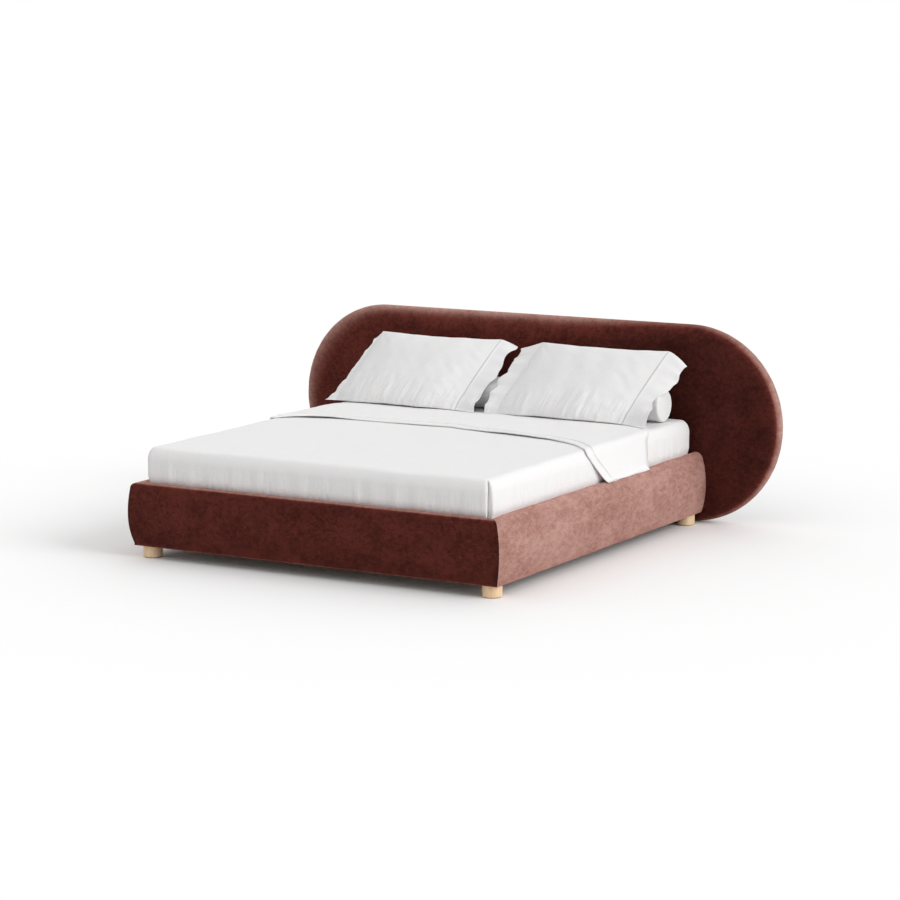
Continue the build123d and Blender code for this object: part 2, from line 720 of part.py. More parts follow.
for side_name, middle_x in (("left", pillow_left_place), ("right", pillow_right_place)):
    with BuildPart() as pillow_cavity:
        pillow_body(middle_x, linen_thickness)
    with BuildPart() as pillowcase:
        pillow_body(middle_x, 0)
        pillow_flap_body(middle_x)
        add(pillow_cavity.part, mode=Mode.SUBTRACT)
    keep(pillowcase, f"pillowcase_{side_name}")
    with BuildPart() as pillow:
        pillow_body(middle_x, linen_thickness + filling_gap)
    keep(pillow, f"pillow_{side_name}")

for name, piece in pieces.items():
    export_step(piece, f"parts/{name}.step")
print("pieces written:", len(pieces))
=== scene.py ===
"""Dress, light and frame the upholstered bed on its fixed CAD frame.

Lengths in the classes are millimetres; a mesh is turned to metres as it is made.
The foot of the bed looks along -Y, the headboard stands at +Y and the floor is at z = 0.
"""
import logging
import math
from dataclasses import dataclass
from enum import Enum
from typing import Dict, List, Optional, Sequence, Tuple

import bmesh
import bpy
import numpy as np
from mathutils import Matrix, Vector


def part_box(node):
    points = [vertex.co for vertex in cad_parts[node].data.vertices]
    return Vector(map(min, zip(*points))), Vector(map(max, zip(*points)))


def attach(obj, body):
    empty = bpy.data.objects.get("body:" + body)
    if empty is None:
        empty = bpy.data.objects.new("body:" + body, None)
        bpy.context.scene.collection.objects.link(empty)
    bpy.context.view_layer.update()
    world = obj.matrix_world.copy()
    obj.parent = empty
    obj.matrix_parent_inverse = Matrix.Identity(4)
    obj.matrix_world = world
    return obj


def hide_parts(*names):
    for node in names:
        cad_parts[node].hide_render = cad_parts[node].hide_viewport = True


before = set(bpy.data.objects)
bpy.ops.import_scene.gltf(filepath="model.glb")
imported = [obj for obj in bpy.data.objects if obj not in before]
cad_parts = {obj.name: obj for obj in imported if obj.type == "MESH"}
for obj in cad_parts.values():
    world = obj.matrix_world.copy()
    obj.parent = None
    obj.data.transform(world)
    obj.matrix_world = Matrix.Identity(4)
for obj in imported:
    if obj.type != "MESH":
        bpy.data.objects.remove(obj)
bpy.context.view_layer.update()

MM = 0.001
WHITE = (1.0, 1.0, 1.0, 1.0)
# At scale one the bands of a wave texture are this far apart
BAND_LENGTH = 0.314
# The four corners seen from above, anticlockwise from the rear right one
CORNERS = ((1, 1), (-1, 1), (-1, -1), (1, -1))
# How far the mattress's sides bulge, and the heights over which they fill out and draw in again
FULLNESS = 10.5
FILLS_OUT = (332, 385)
DRAWS_IN = (462, 506)

Array = np.ndarray
Material = bpy.types.Material
Piece = bpy.types.Object
Socket = bpy.types.NodeSocket
Pair = Tuple[float, float]
Rows = Tuple[Tuple[float, ...], ...]

log = logging.getLogger("bed")


class Pattern(Enum):
    """Where a cloth's weave takes its place from, and its upright axis there."""

    OBJECT = ("Object", 2)
    CLOTH = ("UV", 1)


class Grain(Enum):
    """The direction that the grain of a wooden piece runs in."""

    X = 0
    Y = 1
    Z = 2


# ---- small tools for nodes and meshes


def linear(code: str) -> Tuple[float, ...]:
    """Turn six hex digits of sRGB to linear red, green, blue and full alpha."""
    channels = [int(code[i:i + 2], 16) / 255 for i in (0, 2, 4)]
    return tuple([c / 12.92 if c <= 0.04045 else ((c + 0.055) / 1.055) ** 2.4 for c in channels] + [1.0])


def add_node(tree: bpy.types.NodeTree, kind: str, settings: Optional[Dict] = None,
             inputs: Optional[Dict] = None) -> bpy.types.Node:
    """Add a node, set its options and fill or link its inputs.

    Args:
        tree: the node tree that the node joins.
        kind: the node's type name, without the prefix that all share.
        settings: the node's own options by name.
        inputs: values or output sockets by input name or number.

    Returns:
        The new node.
    """
    node = tree.nodes.new("ShaderNode" + kind)
    for name, value in (settings or {}).items():
        setattr(node, name, value)
    for key, value in (inputs or {}).items():
        if isinstance(value, Socket):
            tree.links.new(value, node.inputs[key])
        else:
            node.inputs[key].default_value = value
    return node


class Nodes:
    """The node tree of one material or world, with short ways to add what the finishes share."""

    def __init__(self, owner: bpy.types.ID) -> None:
        """Empty the owner's tree."""
        owner.use_nodes = True
        self.owner, self.tree = owner, owner.node_tree
        self.tree.nodes.clear()

    def place(self, space: str = "Object") -> Socket:
        """The surface's coordinates in a space."""
        return add_node(self.tree, "TexCoord").outputs[space]

    def drawn_out(self, place: Socket, scale: Sequence[float]) -> Socket:
        """Coordinates scaled along each axis, so that a pattern is drawn out where the scale is small."""
        return add_node(self.tree, "Mapping", inputs={"Vector": place, "Scale": scale}).outputs[0]

    def part(self, place: Socket, axis: int) -> Socket:
        """One coordinate of a place."""
        return add_node(self.tree, "SeparateXYZ", inputs={0: place}).outputs[axis]

    def noise(self, place: Socket, size: float, detail: float, roughness: float,
              distortion: float = 0.0) -> Socket:
        """An uneven field whose patches have a size in millimetres."""
        return add_node(self.tree, "TexNoise", inputs={
            "Vector": place, "Scale": 1 / (size * MM), "Detail": detail, "Roughness": roughness,
            "Distortion": distortion}).outputs[0]

    def bands(self, place: Socket, direction: str, size: float, distortion: float,
              detail: float = 2.0) -> Socket:
        """Soft ribs that repeat at a size in millimetres."""
        return add_node(self.tree, "TexWave", {"wave_type": "BANDS", "bands_direction": direction}, {
            "Vector": place, "Scale": BAND_LENGTH / (size * MM), "Distortion": distortion,
            "Detail": detail}).outputs[1]

    def maths(self, operation: str, *values: object, clamp: bool = False) -> Socket:
        """The result of a named operation on up to three values."""
        return add_node(self.tree, "Math", {"operation": operation, "use_clamp": clamp},
                        dict(enumerate(values))).outputs[0]

    def ranged(self, value: Socket, start: float, end: float, low: float = 0.0, high: float = 1.0,
               smooth: bool = True) -> Socket:
        """A value that goes from low to high while the given one goes from start to end."""
        kind = "SMOOTHSTEP" if smooth else "LINEAR"
        return add_node(self.tree, "MapRange", {"interpolation_type": kind}, {
            "Value": value, "From Min": start, "From Max": end, "To Min": low, "To Max": high}).outputs[0]

    def bump(self, height: Socket, strength: float, distance: float,
             over: Optional[Socket] = None) -> Socket:
        """Relief of a distance in millimetres, over an earlier one where that is given."""
        below = {} if over is None else {"Normal": over}
        return add_node(self.tree, "Bump", inputs={
            "Strength": strength, "Distance": distance * MM, "Height": height, **below}).outputs[0]

    def mixed(self, share: Socket, first: object, second: object) -> Socket:
        """Blend from a first colour to a second by a share; each is a hex code, a tuple or a socket."""
        first, second = [linear(each) if isinstance(each, str) else each for each in (first, second)]
        return add_node(self.tree, "Mix", {"data_type": "RGBA"}, {0: share, 6: first, 7: second}).outputs[2]

    def scaled(self, colour: Socket, factor: Socket) -> Socket:
        """A colour times a factor."""
        return add_node(self.tree, "VectorMath", {"operation": "SCALE"}, {
            "Vector": colour, "Scale": factor}).outputs[0]

    def shown(self) -> Socket:
        """One for rays that show the surface, plainly, mirrored or through glass, and else zero."""
        rays = add_node(self.tree, "LightPath").outputs
        seen = self.maths("MAXIMUM", rays["Is Camera Ray"], rays["Is Glossy Ray"])
        return self.maths("MAXIMUM", seen, rays["Is Transmission Ray"])

    def shader(self, inputs: Dict) -> Socket:
        """A principled shader with its inputs filled."""
        return add_node(self.tree, "BsdfPrincipled", inputs=inputs).outputs[0]

    def close(self, surface: Socket) -> bpy.types.ID:
        """Join the surface to the output and give the owner back."""
        kind = "OutputWorld" if isinstance(self.owner, bpy.types.World) else "OutputMaterial"
        add_node(self.tree, kind, inputs={"Surface": surface})
        return self.owner


def ripple(points: Array, wavelength: float, seed: int, waves: int = 14) -> Array:
    """A smooth uneven field: the sum of seeded plane waves, scaled to a spread of about one.

    Args:
        points: places in millimetres, in rows.
        wavelength: the middle length of the waves.
        seed: the number that fixes the waves.
        waves: how many waves are summed.

    Returns:
        One value for each place.
    """
    draw = np.random.default_rng(seed)
    ways = draw.normal(size=(waves, points.shape[-1]))
    ways /= np.linalg.norm(ways, axis=1)[:, None]
    lengths = wavelength * draw.uniform(0.65, 1.6, waves)
    phases = draw.uniform(0, 2 * math.pi, waves)
    turns = points @ (ways / lengths[:, None]).T * 2 * math.pi + phases
    return np.sin(turns).sum(axis=-1) / math.sqrt(waves / 2)


def bell(value: Array, middle: float, spread: float) -> Array:
    """A smooth bump of height one around the middle."""
    return np.exp(-((value - middle) / spread) ** 2)


def rise(value: Array, start: float, end: float) -> Array:
    """A smooth step from zero at start to one at end."""
    share = np.clip((value - start) / (end - start), 0, 1)
    return share * share * (3 - 2 * share)


def stacked(*parts: object) -> Array:
    """Coordinates brought to one shape and put side by side in a last axis."""
    return np.stack(np.broadcast_arrays(*parts), axis=-1)


def arc(centre: Pair, radius: float, start: float, end: float, count: int) -> Array:
    """Points from one angle in degrees to another: the centre plus radius times cosine and sine."""
    angle = np.radians(np.linspace(start, end, count))
    return stacked(centre[0] + radius * np.cos(angle), centre[1] + radius * np.sin(angle))


def grid_faces(rows: int, columns: int, wrap: bool) -> Array:
    """Quads of a grid whose points are stored row by row.

    Args:
        rows: number of rows.
        columns: number of points in a row.
        wrap: whether the last column joins the first.

    Returns:
        Four point numbers for each quad.
    """
    row = np.arange(rows - 1)[:, None] * columns
    column = np.arange(columns if wrap else columns - 1)[None, :]
    after = (column + 1) % columns
    return stacked(row + column, row + after, row + columns + after, row + columns + column).reshape(-1, 4)


def joined_grids(grids: Sequence[Array], wrap: bool) -> Tuple[Array, Array]:
    """Put several grids of one size together.

    Args:
        grids: the grids' points.
        wrap: whether the last column of each joins its first.

    Returns:
        All points and all quads.
    """
    rows, columns = grids[0].shape[:2]
    faces = [grid_faces(rows, columns, wrap) + index * rows * columns for index in range(len(grids))]
    return np.concatenate([grid.reshape(-1, 3) for grid in grids]), np.concatenate(faces)


def make_piece(name: str, points: Array, material: Material, faces: Optional[Sequence] = None,
               cloth: Optional[Array] = None, weld: float = 0.02, sharp: float = 60.0,
               closed: bool = True, painted_sheen_and_shade: Optional[Array] = None) -> Piece:
    """Put a worked-out surface into a mesh object at the origin.

    Args:
        name: the piece's name.
        points: places in millimetres, a grid of them where no faces are given.
        material: the piece's finish.
        faces: point numbers of each face; by default the grid's quads, its rows closed where the piece is.
        cloth: flat cloth coordinates in metres for each point, where the piece has them.
        weld: points nearer than this, in millimetres, become one.
        sharp: edges folded by more than this, in degrees, shade as sharp.
        closed: whether the surface has an inside, so that its faces are turned outwards.
        painted_sheen_and_shade: painted shade and sheen for the velvet at each point, from -1 painted dark
            to 1 painted pale rose.

    Returns:
        The new object.
    """
    if faces is None:
        faces = grid_faces(*points.shape[:2], wrap=closed)
    mesh = bpy.data.meshes.new(name)
    mesh.from_pydata((points.reshape(-1, 3) * MM).tolist(), [], [list(map(int, face)) for face in faces])
    if cloth is not None:
        layer = mesh.uv_layers.new(name="cloth")
        owners = np.empty(len(mesh.loops), dtype=np.int32)
        mesh.loops.foreach_get("vertex_index", owners)
        layer.data.foreach_set("uv", cloth.reshape(-1, 2)[owners].astype(np.float32).ravel())
    # The velvet's painted sheen and shade ride along as a point attribute
    if painted_sheen_and_shade is not None:
        layer = mesh.attributes.new("painted_sheen_and_shade", "FLOAT", "POINT")
        layer.data.foreach_set("value", painted_sheen_and_shade.astype(np.float32).ravel())
    work = bmesh.new()
    work.from_mesh(mesh)
    bmesh.ops.remove_doubles(work, verts=work.verts, dist=weld * MM)
    bmesh.ops.dissolve_degenerate(work, edges=work.edges, dist=0.002 * MM)
    if closed:
        bmesh.ops.recalc_face_normals(work, faces=work.faces)
    work.to_mesh(mesh)
    work.free()
    mesh.polygons.foreach_set("use_smooth", np.ones(len(mesh.polygons), dtype=bool))
    mesh.set_sharp_from_angle(angle=math.radians(sharp))
    mesh.materials.append(material)
    piece = bpy.data.objects.new(name, mesh)
    bpy.context.scene.collection.objects.link(piece)
    return piece


def thicken(piece: Piece, thickness: float) -> None:
    """Give an open sheet a thickness in millimetres, half to each side."""
    solid = piece.modifiers.new("thickness", "SOLIDIFY")
    solid.thickness = thickness * MM
    solid.offset = 0


def dress(piece: Piece, body: str, slot: str, replaced: Sequence[str] = ()) -> None:
    """Let a piece ride its body and stand for its CAD nodes, and log it with its slot."""
    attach(piece, body)
    if replaced:
        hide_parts(*replaced)
    log.info("%s: %d faces, rides %s, finish %s", piece.name, len(piece.data.polygons), body, slot)


def read_points(mesh: bpy.types.Mesh) -> Array:
    """The mesh's points in millimetres, one row each."""
    values = np.empty(len(mesh.vertices) * 3, dtype=np.float64)
    mesh.vertices.foreach_get("co", values)
    return values.reshape(-1, 3) / MM


def write_points(mesh: bpy.types.Mesh, points: Array) -> None:
    """Put points in millimetres back into the mesh."""
    mesh.vertices.foreach_set("co", (points * MM).astype(np.float32).ravel())
    mesh.update()


def swell(piece: Piece, held: Array, pressure: float, frames: int, cap: float) -> None:
    """Blow a closed cloth up by simulation and keep the result in its mesh.

    Args:
        piece: the closed piece.
        held: numbers of the points that stay where they are.
        pressure: the air pressure inside.
        frames: how many steps are run.
        cap: the most that a point may move, in millimetres.
    """
    scene = bpy.context.scene
    before = read_points(piece.data)
    group = piece.vertex_groups.new(name="held")
    group.add([int(i) for i in held], 1.0, "REPLACE")
    modifier = piece.modifiers.new("swell", "CLOTH")
    cloth = modifier.settings
    cloth.vertex_group_mass = group.name
    cloth.quality = 6
    cloth.mass = 0.25
    cloth.tension_stiffness = cloth.compression_stiffness = 18
    cloth.shear_stiffness = 8
    cloth.bending_stiffness = 0.35
    cloth.use_pressure = True
    cloth.uniform_pressure_force = pressure
    cloth.effector_weights.gravity = 0
    modifier.point_cache.frame_start = 1
    modifier.point_cache.frame_end = frames
    for step in range(1, frames + 1):
        scene.frame_set(step)
    after = read_points(piece.evaluated_get(bpy.context.evaluated_depsgraph_get()).data)
    piece.modifiers.remove(modifier)
    piece.vertex_groups.remove(group)
    move = after - before
    reach = np.linalg.norm(move, axis=1)
    write_points(piece.data, before + move * np.minimum(1, cap / np.maximum(reach, 1e-9))[:, None])
    scene.frame_set(1)
    log.info("%s: simulated, points moved up to %.1f mm", piece.name, min(float(reach.max()), cap))


# ---- finishes


@dataclass(frozen=True)
class CottonVelvet:
    """Short-pile cotton velvet in mottled reds, with painted shade that darkens it and painted sheen that
    turns it a pale rose.
    """

    name: str = "cotton_velvet_with_painted_sheen"
    laid: str = "421914"
    raised: str = "6B3129"
    sheen_paint_laid: str = "9F7267"
    sheen_paint_raised: str = "C29C91"
    half_sheen_paint_laid: str = "71352B"
    half_sheen_paint_raised: str = "935245"
    stroke: float = 120.0
    patch: float = 20.0
    grain: float = 4.5
    drawn: Tuple[float, ...] = (0.8, 0.45, 1.0)
    sheen_tint: str = "D98A7A"

    def make(self) -> Material:
        """Build the velvet: three sizes of unevenness in one relief, two reds, a rose for painted sheen and
        a darkening for painted shade.

        Returns:
            The velvet.
        """
        nodes = Nodes(bpy.data.materials.new(self.name))
        # Hand strokes run level, so the pattern is drawn out a little across the bed and more along it
        place = nodes.drawn_out(nodes.place(), self.drawn)
        strokes = nodes.noise(place, self.stroke, 2.0, 0.5, 0.6)
        patches = nodes.noise(place, self.patch, 5.0, 0.72, 0.5)
        # The pile itself is 0.3 mm thick; its clumps are drawn coarser so that they show
        pile = nodes.noise(place, self.grain, 3.0, 0.75)
        both = nodes.maths("MULTIPLY_ADD", pile, 0.7, nodes.maths("MULTIPLY_ADD", strokes, 0.6, patches))
        share = nodes.ranged(both, 0.86, 1.44)
        # The attribute holds painted shade below zero, which darkens the colour by up to half, and painted
        # sheen above zero
        light_paint = add_node(nodes.tree, "Attribute", {"attribute_name": "painted_sheen_and_shade"}).outputs["Fac"]
        depth = nodes.maths("MULTIPLY_ADD", nodes.maths("MINIMUM", light_paint, 0.0), 0.5, 1.0)
        sheen_paint_share = nodes.maths("MAXIMUM", light_paint, 0.0, clamp=True)
        # Weak painted sheen only deepens the red; full painted sheen is a pale dusty rose
        sheen_paint_colour = nodes.mixed(nodes.ranged(sheen_paint_share, 0.05, 0.7),
                           nodes.mixed(share, self.half_sheen_paint_laid, self.half_sheen_paint_raised),
                           nodes.mixed(share, self.sheen_paint_laid, self.sheen_paint_raised))
        # The mottled reds blend into the painted sheen's rose
        cloth = nodes.mixed(sheen_paint_share, nodes.mixed(share, self.laid, self.raised), sheen_paint_colour)
        return nodes.close(nodes.shader({
            "Base Color": nodes.scaled(cloth, depth), "Normal": nodes.bump(both, 0.3, 1.2),
            "Roughness": 0.9, "Specular IOR Level": 0.1, "Sheen Weight": 0.25, "Sheen Roughness": 0.45,
            "Sheen Tint": linear(self.sheen_tint)}))


@dataclass(frozen=True)
class Percale:
    """Plain-woven washed cotton: matt, almost white, with a fine even weave and soft creases."""

    name: str
    pattern: Pattern
    low: str = "EAE9E9"
    high: str = "EEEDED"
    thread: float = 1.6
    crease: float = 70.0
    slub: float = 9.0
    gathers: Optional[Pair] = None
    gather_size: float = 26.0
    gather_depth: float = 12.0
    hem: Optional[float] = None

    def make(self) -> Material:
        """Build the cotton: weave and creases, and gathers and a painted shade line at the hem where they
        are asked for.

        Returns:
            The cotton cloth.
        """
        nodes = Nodes(bpy.data.materials.new(self.name))
        space, upright = self.pattern.value
        place = nodes.place(space)
        # Threads lie 0.25 mm apart in percale; the weave is drawn at several threads so that it shows
        weave = nodes.maths("MULTIPLY", *[nodes.bands(place, way, self.thread, 0.6, 1.0) for way in "XY"])
        crease = nodes.noise(place, self.crease, 3.0, 0.5, 1.2)
        relief = nodes.bump(crease, 0.25, 4.0, nodes.bump(weave, 0.12, 0.4))
        if self.gathers:
            # A drawn seam below puts upright gathers in the cloth, full at one height and gone at the other
            squeeze = [1.0, 1.0, 1.0]
            squeeze[upright] = 0.07
            pleat = nodes.noise(nodes.drawn_out(place, squeeze), self.gather_size, 4.0, 0.62)
            full, gone = self.gathers
            mask = nodes.ranged(nodes.part(place, upright), gone * MM, full * MM)
            relief = nodes.bump(nodes.maths("MULTIPLY", pleat, mask), 0.7, self.gather_depth, relief)
        share = nodes.ranged(nodes.noise(place, self.slub, 4.0, 0.6), 0.3, 0.7, smooth=False)
        colour = nodes.mixed(share, self.low, self.high)
        if self.hem:
            # Painted shade: a thin line along the hem is darkened, standing in for the shade in its
            # stitched furrow
            off = nodes.maths("SUBTRACT", nodes.part(place, 0), self.hem * MM)
            painted_hem_shade = nodes.ranged(nodes.maths("ABSOLUTE", off), 0.8 * MM, 3.6 * MM, 0.66, 1.0)
            colour = nodes.scaled(colour, painted_hem_shade)
        return nodes.close(nodes.shader({
            "Base Color": colour, "Normal": relief, "Roughness": 0.85, "Specular IOR Level": 0.25,
            "Sheen Weight": 0.08, "Sheen Roughness": 0.5}))


@dataclass(frozen=True)
class Timber:
    """Planed or turned wood: long streaks of early and late growth along the grain, with short flecks."""

    name: str
    pale: str
    dark: str
    grain: Grain
    ring: float = 8.0
    roughness: float = 0.6
    lacquer: float = 0.0
    fleck: float = 1.3

    def make(self) -> Material:
        """Build the wood: rings and flecks drawn out along its grain.

        Returns:
            The wood.
        """
        nodes = Nodes(bpy.data.materials.new(self.name))
        along = [1.0, 1.0, 1.0]
        along[self.grain.value] = 0.07
        place = nodes.drawn_out(nodes.place(), along)
        rings = nodes.noise(place, self.ring, 4.0, 0.6, 0.8)
        both = nodes.maths("MULTIPLY_ADD", nodes.noise(place, self.fleck, 2.0, 0.5), 0.4, rings)
        share = nodes.ranged(both, 0.5, 0.95, smooth=False)
        return nodes.close(nodes.shader({
            "Base Color": nodes.mixed(share, self.pale, self.dark), "Normal": nodes.bump(both, 0.15, 0.3),
            "Roughness": self.roughness, "Coat Weight": self.lacquer, "Coat Roughness": 0.35}))


@dataclass(frozen=True)
class ZincPlate:
    """Bright zinc on pressed steel: metallic, a little cloudy, with fine scuffs."""

    name: str = "zinc_plated_steel"
    cloud: float = 12.0

    def make(self) -> Material:
        """Build the plated steel.

        Returns:
            The plated steel.
        """
        nodes = Nodes(bpy.data.materials.new(self.name))
        cloud = nodes.noise(nodes.place(), self.cloud, 4.0, 0.6)
        return nodes.close(nodes.shader({
            "Base Color": nodes.mixed(cloud, "B4B7BB", "D3D4D6"), "Metallic": 1.0,
            "Roughness": nodes.ranged(cloud, 0.3, 0.7, 0.28, 0.48, smooth=False)}))


@dataclass(frozen=True)
class CoarseCloth:
    """A plain technical cloth or felt: matt, speckled fibres over an even colour."""

    name: str
    low: str
    high: str
    fibre: float
    depth: float = 0.4

    def make(self) -> Material:
        """Build the cloth.

        Returns:
            The cloth.
        """
        nodes = Nodes(bpy.data.materials.new(self.name))
        place = nodes.place()
        fibres = nodes.noise(place, self.fibre, 3.0, 0.7, 1.5)
        both = nodes.maths("MULTIPLY_ADD", nodes.bands(place, "DIAGONAL", self.fibre, 1.0), 0.3, fibres)
        return nodes.close(nodes.shader({
            "Base Color": nodes.mixed(both, self.low, self.high),
            "Normal": nodes.bump(both, 0.5, self.depth), "Roughness": 0.92, "Sheen Weight": 0.1}))


# ---- the upholstered rails


@dataclass
class UpholsteredRails:
    """The padded velvet rails round the mattress: at the foot and on each side, mitred at the foot."""

    velvet: Material
    half_width: float = 980.0
    foot_y: float = -1105.0
    head_y: float = 985.0
    floor_gap: float = 58.5
    bulge_z: float = 205.0
    top_z: float = 355.0
    foot_inset: float = 24.0
    foot_z: float = 57.0
    side_shoulder: Pair = (19.0, 327.0)
    side_peak: float = 55.0
    side_depth: float = 77.0
    side_level: float = 2.0
    front_shoulder: Pair = (4.0, 338.0)
    front_peak: float = 22.0
    front_depth: float = 55.0
    front_level: float = 20.0
    seam_shoulder: Pair = (14.0, 331.0)
    seam_peak: float = 36.0
    seam_level: float = 15.0
    seam_run: float = 170.0
    mitre_run: float = 80.0
    outside_points: int = 44
    seam_depth: float = 3.2
    seam_width: float = 4.0

    def section(self, shoulder: Pair, peak: float, depth: float, flat: float) -> Array:
        """Outline of a rail: a lower and an upper arc that meet upright at the bulge, a crown and a back.

        Each long arc's radius is (inset squared plus rise squared) over twice the inset, so that it is
        upright at the bulge; the crown starts in the direction in which the upper arc ends, and a small
        roll follows the level part of the top.

        Args:
            shoulder: where the upper arc ends, as inset and height.
            peak: inset at which the crown reaches the top.
            depth: inset of the back.
            flat: length of the level part behind the peak.

        Returns:
            Points as distance in from the bulge and height, going up the outside and down the back.
        """
        down = self.bulge_z - self.foot_z
        up = shoulder[1] - self.bulge_z
        low_radius = (self.foot_inset ** 2 + down ** 2) / (2 * self.foot_inset)
        high_radius = (shoulder[0] ** 2 + up ** 2) / (2 * shoulder[0])
        low_angle = math.degrees(math.asin((self.bulge_z - self.floor_gap) / low_radius))
        high_angle = math.degrees(math.asin(up / high_radius))
        lower = arc((low_radius, self.bulge_z), low_radius, 180 + low_angle, 180, 16)
        upper = arc((high_radius, self.bulge_z), high_radius, 180, 180 - high_angle, 14)[1:]
        normal = np.array([math.cos(math.radians(high_angle)), -math.sin(math.radians(high_angle))])
        chord = np.array([peak - shoulder[0], self.top_z - shoulder[1]])
        radius = float(chord @ chord / (2 * chord @ normal))
        centre = np.array(shoulder) + normal * radius
        end = math.degrees(math.atan2(self.top_z - centre[1], peak - centre[0]))
        crown = arc(tuple(centre), radius, 180 - high_angle, end, 12)[1:]
        roll_radius = depth - peak - flat
        roll = arc((peak + flat, self.top_z - roll_radius), roll_radius, 90, 0, 9)
        level = stacked(np.linspace(peak, peak + flat, 4)[1:], self.top_z)
        back = stacked(depth, np.linspace(roll[-1][1], self.floor_gap, 14)[1:])
        under = stacked(np.linspace(depth, lower[0][0], 6)[1:-1], self.floor_gap)
        return np.concatenate([lower, upper, crown, level, roll[1:], back, under])

    def dented(self, section: Array, from_seam: Array, seed: int, along: Array) -> Array:
        """Section points moved along their normals: a groove at a seam, puckers beside it, soft unevenness.

        Args:
            section: the outline's points.
            from_seam: distance of each station from the nearest seam.
            seed: the number that fixes the unevenness.
            along: each station's place along the rail.

        Returns:
            An array of stations by outline points by (inset, height).
        """
        ahead = np.roll(section, -1, axis=0) - np.roll(section, 1, axis=0)
        outwards = stacked(-ahead[:, 1], ahead[:, 0])
        outwards /= np.linalg.norm(outwards, axis=1)[:, None]
        near, height = from_seam[:, None], section[None, :, 1]
        groove = -self.seam_depth * np.exp(-(near / self.seam_width) ** 2)
        fold = np.sin(height / 7.5 + 1.3 * np.sin(height / 31 + seed))
        pucker = 0.7 * np.exp(-near / 26) * fold * rise(near, 0, 9)
        spots = stacked(along[:, None], height, section[None, :, 0])
        uneven = 0.75 * ripple(spots, 210, seed) * rise(near, 0, 60) + 0.3 * ripple(spots, 75, seed + 1)
        shown = (section[:, 1] > self.floor_gap + 1)[None, :]
        move = (groove + pucker + uneven * rise(near, 0, 20)) * shown
        return section[None] + outwards[None] * move[..., None]

    def spread(self, length: float, both: bool) -> Array:
        """Stations along a rail, close together at its seams.

        Args:
            length: the rail's length.
            both: whether it has a seam at both ends.

        Returns:
            Distances from its first end.
        """
        close = np.array([0, 1.2, 2.6, 4.2, 6, 8.5, 12, 17, 24, 34, 46])
        end = length - close[::-1] if both else np.array([length])
        return np.concatenate([close, np.arange(close[-1] + 20, end[0] - 12, 20), end])

    def painted_light_of(self, foot: bool, level: Array, near: Array) -> Array:
        """Painted sheen and shade for the rails' velvet: pale sides, a dark foot face with a light crown
        and lower edge.

        Args:
            foot: whether this is the foot rail.
            level: heights of the grid's points.
            near: each station's distance from the nearest seam, as a column.

        Returns:
            A value from -1 to 1 for each point.
        """
        # Side rails get painted sheen all over, stronger along the crown and beside the seam; the foot rail
        # gets painted shade on its face, darkest beside the seams, a painted highlight on its crown and a
        # painted glow of floor light along its lower edge
        if not foot:
            return np.clip(0.86 + 0.1 * rise(level, 333, 347) + 0.14 * bell(near, 3, 4), -1, 1)
        crown, lower = rise(level, 343, 354), bell(level, self.floor_gap, 7)
        pile = 0.62 * crown - (0.36 + 0.6 * bell(near, 0, 11)) * (1 - crown)
        outside = np.arange(level.shape[1])[None, :] < self.outside_points
        return np.clip((pile * (1 - lower) + 0.45 * lower) * outside, -1, 1)

    def shell(self, name: str, rows: Array, from_seam: Array, replaced: Sequence[str]) -> Piece:
        """Close a rail's grid with end faces and dress it.

        Args:
            name: the piece's name.
            rows: stations by outline points by place.
            from_seam: distance of each station from the nearest seam.
            replaced: the CAD nodes that it stands for.

        Returns:
            The rail's piece.
        """
        stations, around = rows.shape[:2]
        last = (stations - 1) * around
        faces = list(grid_faces(stations, around, wrap=True)) + [range(around), range(last, last + around)]
        # Painted sheen and shade for the velvet, carried by an attribute
        pile = self.painted_light_of("foot" in name, rows[..., 2], from_seam[:, None])
        piece = make_piece(name, rows, self.velvet, faces, sharp=42, painted_sheen_and_shade=pile)
        dress(piece, "bed_frame", "velvet", replaced)
        return piece

    def build(self) -> List[Piece]:
        """Make the three rails.

        Returns:
            The foot rail and both side rails.
        """
        front = self.section(self.front_shoulder, self.front_peak, self.front_depth, self.front_level)
        side_form = self.section(self.side_shoulder, self.side_peak, self.side_depth, self.side_level)
        front_long, side_long = self.half_width * 2, self.head_y - self.foot_y
        front_along, side_along = self.spread(front_long, True), self.spread(side_long, False)
        from_seam = np.minimum(front_along, front_long - front_along)
        front_shape = self.dented(front, from_seam, 11, front_along)
        # Both covers meet on one sewn line: the side's inset across, the foot's along, their mean height
        seam_form = self.section(self.seam_shoulder, self.seam_peak, self.side_depth, self.seam_level)
        to_seam = 1 - rise(side_along, 0, self.seam_run)[:, None, None]
        side_shape = self.dented(side_form, side_along, 23, side_along) + (seam_form - side_form) * to_seam
        seam_in, seam_y = side_shape[0, :, 0], self.foot_y + front_shape[0, :, 0]
        seam_z = (side_shape[0, :, 1] + front_shape[0, :, 1]) / 2
        away = rise(from_seam, 0, self.mitre_run)[:, None]
        rows = stacked((front_along / self.half_width - 1)[:, None] * (self.half_width - seam_in),
                       self.foot_y + front_shape[..., 0], seam_z + (front_shape[..., 1] - seam_z) * away)
        pieces = [self.shell("foot_rail_upholstery", rows, from_seam, ("foot_cover", "foot_foam"))]
        y = seam_y + (side_along / side_long)[:, None] * (self.head_y - seam_y)
        z = seam_z + (side_shape[..., 1] - seam_z) * rise(side_along, 0, self.mitre_run)[:, None]
        for side, word in ((-1, "left"), (1, "right")):
            rows = stacked(side * (self.half_width - side_shape[..., 0]), y, z)
            pieces.append(self.shell(f"side_rail_upholstery_{word}", rows, side_along,
                                     (f"side_cover_{word}", f"side_foam_{word}")))
        return pieces


# ---- the headboard


